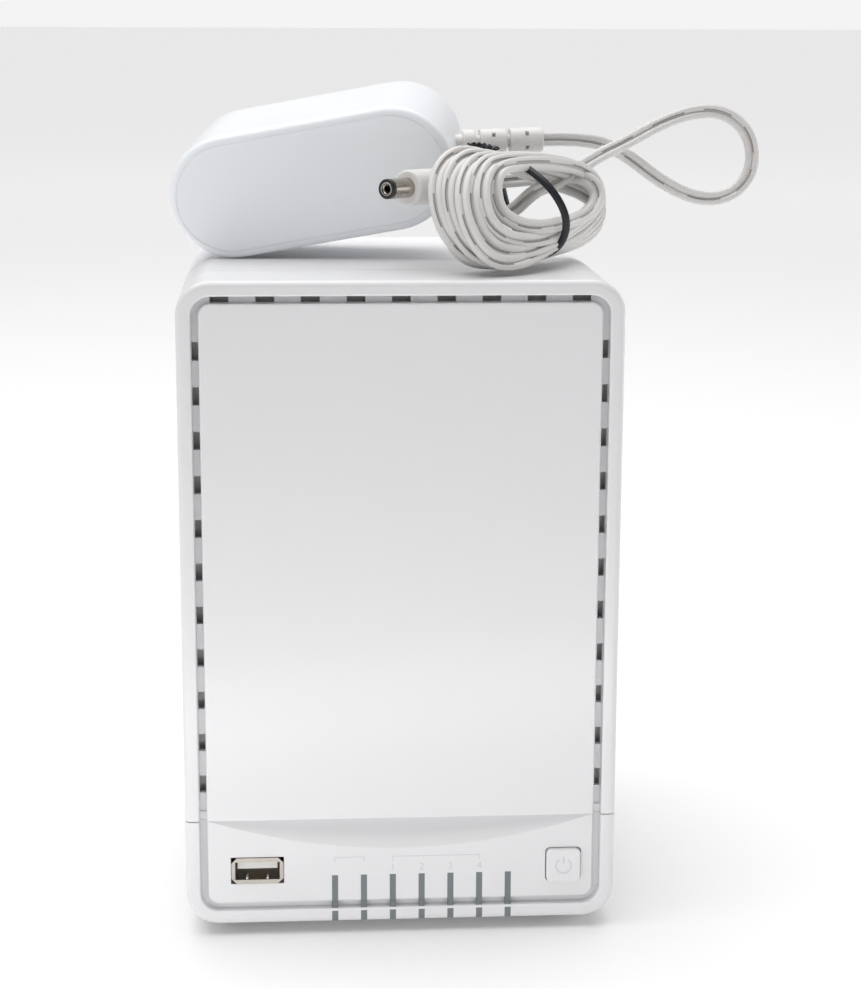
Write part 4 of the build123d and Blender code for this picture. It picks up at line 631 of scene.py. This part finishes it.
# Weld bead: the flash of white plastic that the sealing of the lid pressed up into the groove
# round it, a little below the face.
lid_half_height = 0.0155
lid_half_length = 0.03905
bead_inner = lid_half_height - 0.0001
bead_outer = lid_half_height + 0.0004
bead_segments = 64
bead_sink = 0.0002
bead_depth = 0.0012
lid_centre = Vector((-0.0236, -0.0128, 0.20735))
lid_turn = (
    Matrix.Rotation(math.radians(-7.7), 4, "Z")
    @ Matrix.Rotation(math.radians(7.8), 4, "X")
    @ Matrix.Rotation(math.radians(-10.6), 4, "Y")
)
bead = bmesh.new()
for radius in (bead_inner, bead_outer):
    ring = bmesh.ops.create_circle(bead, segments=bead_segments, radius=radius)["verts"]
    bmesh.ops.rotate(bead, matrix=Matrix.Rotation(math.pi / bead_segments, 3, "Z"), verts=ring)
    for side in (1, -1):
        bmesh.ops.translate(
            bead, vec=Vector((side * (lid_half_length - lid_half_height), 0, 0)),
            verts=[corner for corner in ring if corner.co.x * side > 0],
        )
bmesh.ops.bridge_loops(bead, edges=bead.edges)
bmesh.ops.rotate(bead, matrix=Matrix.Rotation(math.radians(90), 3, "X"), verts=bead.verts)
band = bmesh.ops.extrude_face_region(bead, geom=bead.faces[:])
bmesh.ops.translate(
    bead, vec=Vector((0, bead_depth, 0)),
    verts=[corner for corner in band["geom"] if isinstance(corner, bmesh.types.BMVert)],
)
bmesh.ops.translate(bead, vec=Vector((0, bead_sink, 0)), verts=bead.verts)
bmesh.ops.transform(bead, matrix=Matrix.Translation(lid_centre) @ lid_turn, verts=bead.verts)
finished_piece("lid_weld", bead, adapter_plastic, "power_adapter")

# Adapter's inside: a resin board with its transformer, wound and taped in yellow, and two
# sleeved electrolytic capacitors.
board_resin = bpy.data.materials.new("board_resin")
board_resin.use_nodes = True
tree = board_resin.node_tree
shader = tree.nodes["Principled BSDF"]
board_place = tree.nodes.new("ShaderNodeTexCoord")
tracks = tree.nodes.new("ShaderNodeTexVoronoi")
tracks.distance = "MANHATTAN"
tracks.feature = "DISTANCE_TO_EDGE"
tracks.inputs["Scale"].default_value = 260
track_mask = tree.nodes.new("ShaderNodeMapRange")
track_mask.inputs["From Min"].default_value = 0.10
track_mask.inputs["From Max"].default_value = 0.14
pads = tree.nodes.new("ShaderNodeTexVoronoi")
pads.inputs["Scale"].default_value = 330
pad_mask = tree.nodes.new("ShaderNodeMath")
pad_mask.operation = "LESS_THAN"
pad_mask.inputs[1].default_value = 0.16
resist = tree.nodes.new("ShaderNodeMix")
resist.data_type = "RGBA"
resist.inputs[6].default_value = (0.035, 0.19, 0.075, 1)
resist.inputs[7].default_value = (0.016, 0.095, 0.04, 1)
padded_board = tree.nodes.new("ShaderNodeMix")
padded_board.data_type = "RGBA"
padded_board.inputs[7].default_value = (0.62, 0.56, 0.42, 1)
shader.inputs["Roughness"].default_value = 0.35
tree.links.new(board_place.outputs["Object"], tracks.inputs["Vector"])
tree.links.new(board_place.outputs["Object"], pads.inputs["Vector"])
tree.links.new(tracks.outputs["Distance"], track_mask.inputs["Value"])
tree.links.new(track_mask.outputs["Result"], resist.inputs[0])
tree.links.new(pads.outputs["Distance"], pad_mask.inputs[0])
tree.links.new(pad_mask.outputs[0], padded_board.inputs[0])
tree.links.new(resist.outputs[2], padded_board.inputs[6])
tree.links.new(padded_board.outputs[2], shader.inputs["Base Color"])
dress(
    board_resin, "adapter_board", "main_board", "front_board", "left_drive_board",
    "right_drive_board",
)

winding_tape = moulded_finish("winding_tape", (0.62, 0.44, 0.06), 0.3, 300.0, 0.00005)
dress(winding_tape, "adapter_transformer")
capacitor_sleeve = moulded_finish("capacitor_sleeve", (0.02, 0.03, 0.07), 0.28, 500.0)
dress(capacitor_sleeve, "adapter_capacitors", "capacitors")

# Recorder's shell: glossy white moulding for the front cover, the front half and the power
# button, and a plain matte rear half.
shell_colour = (0.765, 0.765, 0.775)
gloss_white = moulded_finish(
    "gloss_white", shell_colour, 0.34, 1600.0, 0.000012, 0.015
)
shader = gloss_white.node_tree.nodes["Principled BSDF"]
shader.inputs["Coat Weight"].default_value = 0.2
shader.inputs["Coat Roughness"].default_value = 0.12
dress(gloss_white, "front_cover", "front_housing", "power_button")
matte_white = moulded_finish(
    "matte_white", (0.84, 0.84, 0.85), 0.55, 1200.0, 0.00005, 0.03
)
dress(matte_white, "rear_housing")

# Feet: four turned black rubber discs glued into shallow seats under the housing, matte
# and slightly rough.
foot_rubber = moulded_finish("foot_rubber", (0.02, 0.02, 0.021), 0.75, 800.0, 0.00008)
dress(foot_rubber, "rubber_feet")

# Fasteners: bright zinc machine screws inside, black ones through the housing and the fan.
# The drive cage is folded from sheet with the same zinc plating.
zinc_steel = metal_finish("zinc_steel", (0.58, 0.59, 0.61), 0.3, (500, 500, 500), 0.3)
black_steel = metal_finish("black_steel", (0.05, 0.05, 0.055), 0.35, (700, 700, 700), 0.2)
dress(zinc_steel, "cage_screws", "drive_screws", "board_screws", "front_board_screws", "drive_cage")
dress(black_steel, "housing_screws", "fan_screws")

# Two hard drives standing on end: rough grey die-cast aluminium bases with brighter satin
# steel lids.
cast_aluminium = metal_finish(
    "cast_aluminium", (0.42, 0.43, 0.44), 0.48, (380, 380, 380), 0.35, 0.00006
)
drive_lid_steel = metal_finish("drive_lid_steel", (0.62, 0.63, 0.65), 0.24, (900, 900, 40), 0.12)
dress(cast_aluminium, "left_drive_base", "right_drive_base")
dress(drive_lid_steel, "left_drive_cover", "right_drive_cover")

# Parts on the main board: chips in black epoxy, a finned aluminium heat sink and a coin cell.
# The board itself wears the finish of the adapter's board.
chip_epoxy = moulded_finish("chip_epoxy", (0.022, 0.022, 0.024), 0.6, 1500.0, 0.00004)
dress(chip_epoxy, "board_chips")
sink_aluminium = metal_finish("sink_aluminium", (0.50, 0.51, 0.53), 0.4, (900, 60, 900), 0.15)
dress(sink_aluminium, "heat_sink")
cell_steel = metal_finish("cell_steel", (0.66, 0.66, 0.66), 0.22, (500, 500, 500), 0.15)
dress(cell_steel, "backup_cell")

# Connectors: folded nickel-plated shells with white inserts and gold-flashed contacts. The
# inserts' plastic is also that of the headers and the reset plunger.
connector_steel = metal_finish("connector_steel", (0.50, 0.47, 0.43), 0.26, (900, 200, 900), 0.35)
dress(connector_steel, "network_jack", "rear_usb_ports")
white_insert = moulded_finish("white_insert", (0.72, 0.71, 0.68), 0.45, 900.0)
dress(
    white_insert, "rear_usb_tongues", "front_usb_tongue", "fan_header", "ribbon_headers",
    "reset_plunger",
)
gold_contact = metal_finish("gold_contact", (0.80, 0.58, 0.24), 0.25, (900, 200, 900), 0.2)
dress(gold_contact, "network_contacts", "front_usb_contacts")

# Front USB socket's shell: folded from nickel-plated sheet, its mouth flared into four lips
# that part at the corners, with two springs pressed up out of its floor.
usb_low, usb_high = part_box("front_usb_shell")
usb_middle = (Vector(usb_low) + Vector(usb_high)) / 2
usb_face = usb_low[1]
corner_cut = 0.0015
spring_radius = 0.00075
spring_spread = 0.0029
spring_depth = 0.0019
spring_drop = 0.0026
spring_shape = Vector((1, 2.0, 1.7))
usb_shell = bmesh.new()
usb_shell.from_mesh(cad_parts["front_usb_shell"].data)
bmesh.ops.remove_doubles(usb_shell, verts=usb_shell.verts, dist=0.00001)
for side in (-1, 1):
    for rise in (-1, 1):
        cut_way = Vector((side, 0, rise)).normalized()
        corner = Vector((
            usb_high[0] if side > 0 else usb_low[0],
            usb_face,
            usb_high[2] if rise > 0 else usb_low[2],
        ))
        cut = bmesh.ops.bisect_plane(
            usb_shell, geom=usb_shell.verts[:] + usb_shell.edges[:] + usb_shell.faces[:],
            dist=0.000001, plane_co=corner - Vector((side, 0, rise)) * corner_cut / 2,
            plane_no=cut_way, clear_outer=True,
        )
        rim = [edge for edge in cut["geom_cut"] if isinstance(edge, bmesh.types.BMEdge)]
        bmesh.ops.holes_fill(usb_shell, edges=rim, sides=0)
bmesh.ops.dissolve_limit(
    usb_shell, angle_limit=0.01, verts=usb_shell.verts, edges=usb_shell.edges
)
for side in (-1, 1):
    spring = bmesh.ops.create_uvsphere(
        usb_shell, u_segments=16, v_segments=8, radius=spring_radius
    )["verts"]
    bmesh.ops.scale(usb_shell, vec=spring_shape, verts=spring)
    spring_place = Vector((
        usb_middle.x + side * spring_spread, usb_face + spring_depth, usb_middle.z - spring_drop
    ))
    bmesh.ops.translate(usb_shell, vec=spring_place, verts=spring)
front_shell = finished_piece(
    "front_usb_mouth", usb_shell, connector_steel, "recorder"
)
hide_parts("front_usb_shell")

# Leads inside: a thin black sleeve on the fan's lead, and a flat ribbon of grey-white film
# between the two boards.
lead_sleeve = moulded_finish("lead_sleeve", (0.02, 0.02, 0.02), 0.5, 600.0, 0.00004)
dress(lead_sleeve, "fan_lead")
ribbon_film = moulded_finish("ribbon_film", (0.62, 0.63, 0.66), 0.3, 400.0)
dress(ribbon_film, "front_ribbon")

# Status lamps and their light guide: clear epoxy lamps behind seven smoked acrylic bars that
# run down the strip, across the channel and over the rim to the bottom edge.
lamp_epoxy = moulded_finish("lamp_epoxy", (0.62, 0.60, 0.40), 0.2, 500.0)
dress(lamp_epoxy, "status_leds")
smoked_acrylic = moulded_finish(
    "smoked_acrylic", (0.19, 0.21, 0.22), 0.45, 1200.0, 0.00001, 0.05
)
shader = smoked_acrylic.node_tree.nodes["Principled BSDF"]
shader.inputs["Specular IOR Level"].default_value = 0.2
dress(smoked_acrylic, "light_guide")

# Print on the strip: two thin grey brackets over the lamp bars and plain numbers over the
# group of four, with a standby mark on the button.
print_grey = moulded_finish("print_grey", (0.60, 0.62, 0.65), 0.4, 1500.0, 0.00001)
ink = 0.00003
strip_face = -0.0623
line_width = 0.00022
bracket_top = 0.0227
bracket_leg = 0.0015
lamp_pitch = 0.00817
first_lamp = -0.01872


def printed_strip(build, x_low, x_high, z_low, z_high, face):
    """One flat printed rectangle as a thin raised block."""
    made = bmesh.ops.create_cube(build, size=1)["verts"]
    size = Vector((x_high - x_low, ink, z_high - z_low))
    bmesh.ops.scale(build, vec=size, verts=made)
    centre = Vector(((x_low + x_high) / 2, face - ink / 2, (z_low + z_high) / 2))
    bmesh.ops.translate(build, vec=centre, verts=made)


brackets = bmesh.new()
for first, last in ((0, 1), (2, 5)):
    left = first_lamp + first * lamp_pitch
    right = first_lamp + last * lamp_pitch
    printed_strip(brackets, left, right, bracket_top - line_width, bracket_top, strip_face)
    for x in (left, right):
        printed_strip(
            brackets, x - line_width / 2, x + line_width / 2,
            bracket_top - bracket_leg, bracket_top, strip_face,
        )
finished_piece("strip_brackets", brackets, print_grey, "recorder")

number_height = 0.0021
number_base = 0.0184
type_scale = 1.38
for number in range(4):
    lettering = bpy.data.curves.new("channel_number", "FONT")
    lettering.body = str(number + 1)
    lettering.size = number_height * type_scale
    lettering.align_x = "CENTER"
    lettering.extrude = ink / 2
    flat = bpy.data.objects.new("channel_number", lettering)
    bpy.context.scene.collection.objects.link(flat)
    bpy.context.view_layer.update()
    mesh = bpy.data.meshes.new_from_object(flat)
    bpy.data.objects.remove(flat)
    upright = Matrix.Rotation(math.radians(90), 4, "X")
    centre = Vector((first_lamp + (2 + number) * lamp_pitch, strip_face - ink / 2, number_base))
    mesh.transform(Matrix.Translation(centre) @ upright)
    mesh.materials.clear()
    mesh.materials.append(print_grey)
    piece = bpy.data.objects.new(f"channel_number_{number + 1}", mesh)
    bpy.context.scene.collection.objects.link(piece)
    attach(piece, "recorder")

button_centre = Vector((0.046, -0.0638, 0.0192))
mark_radius = 0.0024
mark_width = 0.00045
mark = bmesh.new()
mark_gap = math.radians(32)
mark_steps = 40
mark_low = 0.0006
mark_over = 0.0002
ends = [
    mark.verts.new(button_centre + Vector((
        radius * math.sin(mark_gap), -ink / 2, radius * math.cos(mark_gap)
    )))
    for radius in (mark_radius - mark_width, mark_radius)
]
bmesh.ops.spin(
    mark, geom=[*ends, mark.edges.new(ends)], cent=button_centre, axis=(0, 1, 0),
    angle=2 * math.pi - 2 * mark_gap, steps=mark_steps,
)
printed_strip(
    mark, button_centre.x - mark_width / 2, button_centre.x + mark_width / 2,
    button_centre.z + mark_low, button_centre.z + mark_radius + mark_over, button_centre.y,
)
finished_piece("standby_mark", mark, print_grey, "power_button")

# Studio: one pale sheet on the floor that runs far back under and behind the recorder, and
# glows a little more with distance. The air is brightest behind and above. A large soft box
# hangs overhead, with a small one at the right and a faint one low in front.
sheet_half_size = 60
sheet_glow_near = 0.07
sheet_glow_far = 0.45
glow_start = 0.3
glow_end = 3.0
air_front = 0.30
air_back = 0.45
air_seen = 0.925
bright_way = (-0.25, 0.85, 0.45)

sheet_white = bpy.data.materials.new("sheet_white")
sheet_white.use_nodes = True
tree = sheet_white.node_tree
shader = tree.nodes["Principled BSDF"]
shader.inputs["Roughness"].default_value = 0.7
shader.inputs["Specular IOR Level"].default_value = 0.1
shader.inputs["Emission Strength"].default_value = 1
sheet_place = tree.nodes.new("ShaderNodeTexCoord")
sheet_noise = tree.nodes.new("ShaderNodeTexNoise")
sheet_noise.inputs["Scale"].default_value = 2
sheet_tone = tree.nodes.new("ShaderNodeMapRange")
sheet_tone.inputs["To Min"].default_value = 0.88
sheet_tone.inputs["To Max"].default_value = 0.90
tree.links.new(sheet_place.outputs["Object"], sheet_noise.inputs["Vector"])
tree.links.new(sheet_noise.outputs["Fac"], sheet_tone.inputs["Value"])
tree.links.new(sheet_tone.outputs["Result"], shader.inputs["Base Color"])
sheet_reach = tree.nodes.new("ShaderNodeVectorMath")
sheet_reach.operation = "LENGTH"
sheet_glow = tree.nodes.new("ShaderNodeMapRange")
sheet_glow.interpolation_type = "SMOOTHSTEP"
sheet_glow.inputs["From Min"].default_value = glow_start
sheet_glow.inputs["From Max"].default_value = glow_end
sheet_glow.inputs["To Min"].default_value = sheet_glow_near
sheet_glow.inputs["To Max"].default_value = sheet_glow_far
tree.links.new(sheet_place.outputs["Object"], sheet_reach.inputs[0])
tree.links.new(sheet_reach.outputs["Value"], sheet_glow.inputs["Value"])
tree.links.new(sheet_glow.outputs["Result"], shader.inputs["Emission Color"])
ground = bmesh.new()
bmesh.ops.create_grid(ground, x_segments=1, y_segments=1, size=sheet_half_size)
ground_mesh = bpy.data.meshes.new("studio_floor")
ground.to_mesh(ground_mesh)
ground.free()
ground_mesh.materials.append(sheet_white)
studio_floor = bpy.data.objects.new("studio_floor", ground_mesh)
bpy.context.scene.collection.objects.link(studio_floor)

world = bpy.data.worlds.new("studio_air")
world.use_nodes = True
tree = world.node_tree
air = tree.nodes["Background"]
air.inputs["Color"].default_value = (0.985, 0.975, 0.985, 1)
air_way = tree.nodes.new("ShaderNodeTexCoord")
air_lean = tree.nodes.new("ShaderNodeVectorMath")
air_lean.operation = "DOT_PRODUCT"
air_lean.inputs[1].default_value = bright_way
air_strength = tree.nodes.new("ShaderNodeMapRange")
air_strength.interpolation_type = "SMOOTHSTEP"
air_strength.inputs["From Min"].default_value = -0.6
air_strength.inputs["From Max"].default_value = 0.6
air_strength.inputs["To Min"].default_value = air_front
air_strength.inputs["To Max"].default_value = air_back
air_eye = tree.nodes.new("ShaderNodeLightPath")
air_shown = tree.nodes.new("ShaderNodeMix")
air_shown.inputs[3].default_value = air_seen
tree.links.new(air_way.outputs["Generated"], air_lean.inputs[0])
tree.links.new(air_lean.outputs["Value"], air_strength.inputs["Value"])
tree.links.new(air_eye.outputs["Is Camera Ray"], air_shown.inputs[0])
tree.links.new(air_strength.outputs["Result"], air_shown.inputs[2])
tree.links.new(air_shown.outputs[0], air.inputs["Strength"])
bpy.context.scene.world = world
bpy.context.scene.view_settings.view_transform = "Standard"


def soft_light(name, place, aim, size, power):
    """A rectangular soft box at a place, turned to a point."""
    light = bpy.data.lights.new(name, "AREA")
    light.shape = "RECTANGLE"
    light.size, light.size_y = size
    light.energy = power
    lamp = bpy.data.objects.new(name, light)
    lamp.location = place
    lamp.rotation_euler = (Vector(aim) - Vector(place)).to_track_quat("-Z", "Y").to_euler()
    lamp.visible_camera = False
    bpy.context.scene.collection.objects.link(lamp)


soft_light("top_box", (-0.2, 0.12, 1.5), (0, 0, 0.15), (2.2, 1.6), 26)
soft_light("right_box", (0.75, 0.15, 0.2), (0, 0, 0.1), (0.5, 0.4), 0.8)
soft_light("front_bounce", (-0.05, -0.22, 0.015), (0, -0.06, 0.02), (0.4, 0.03), 0.13)
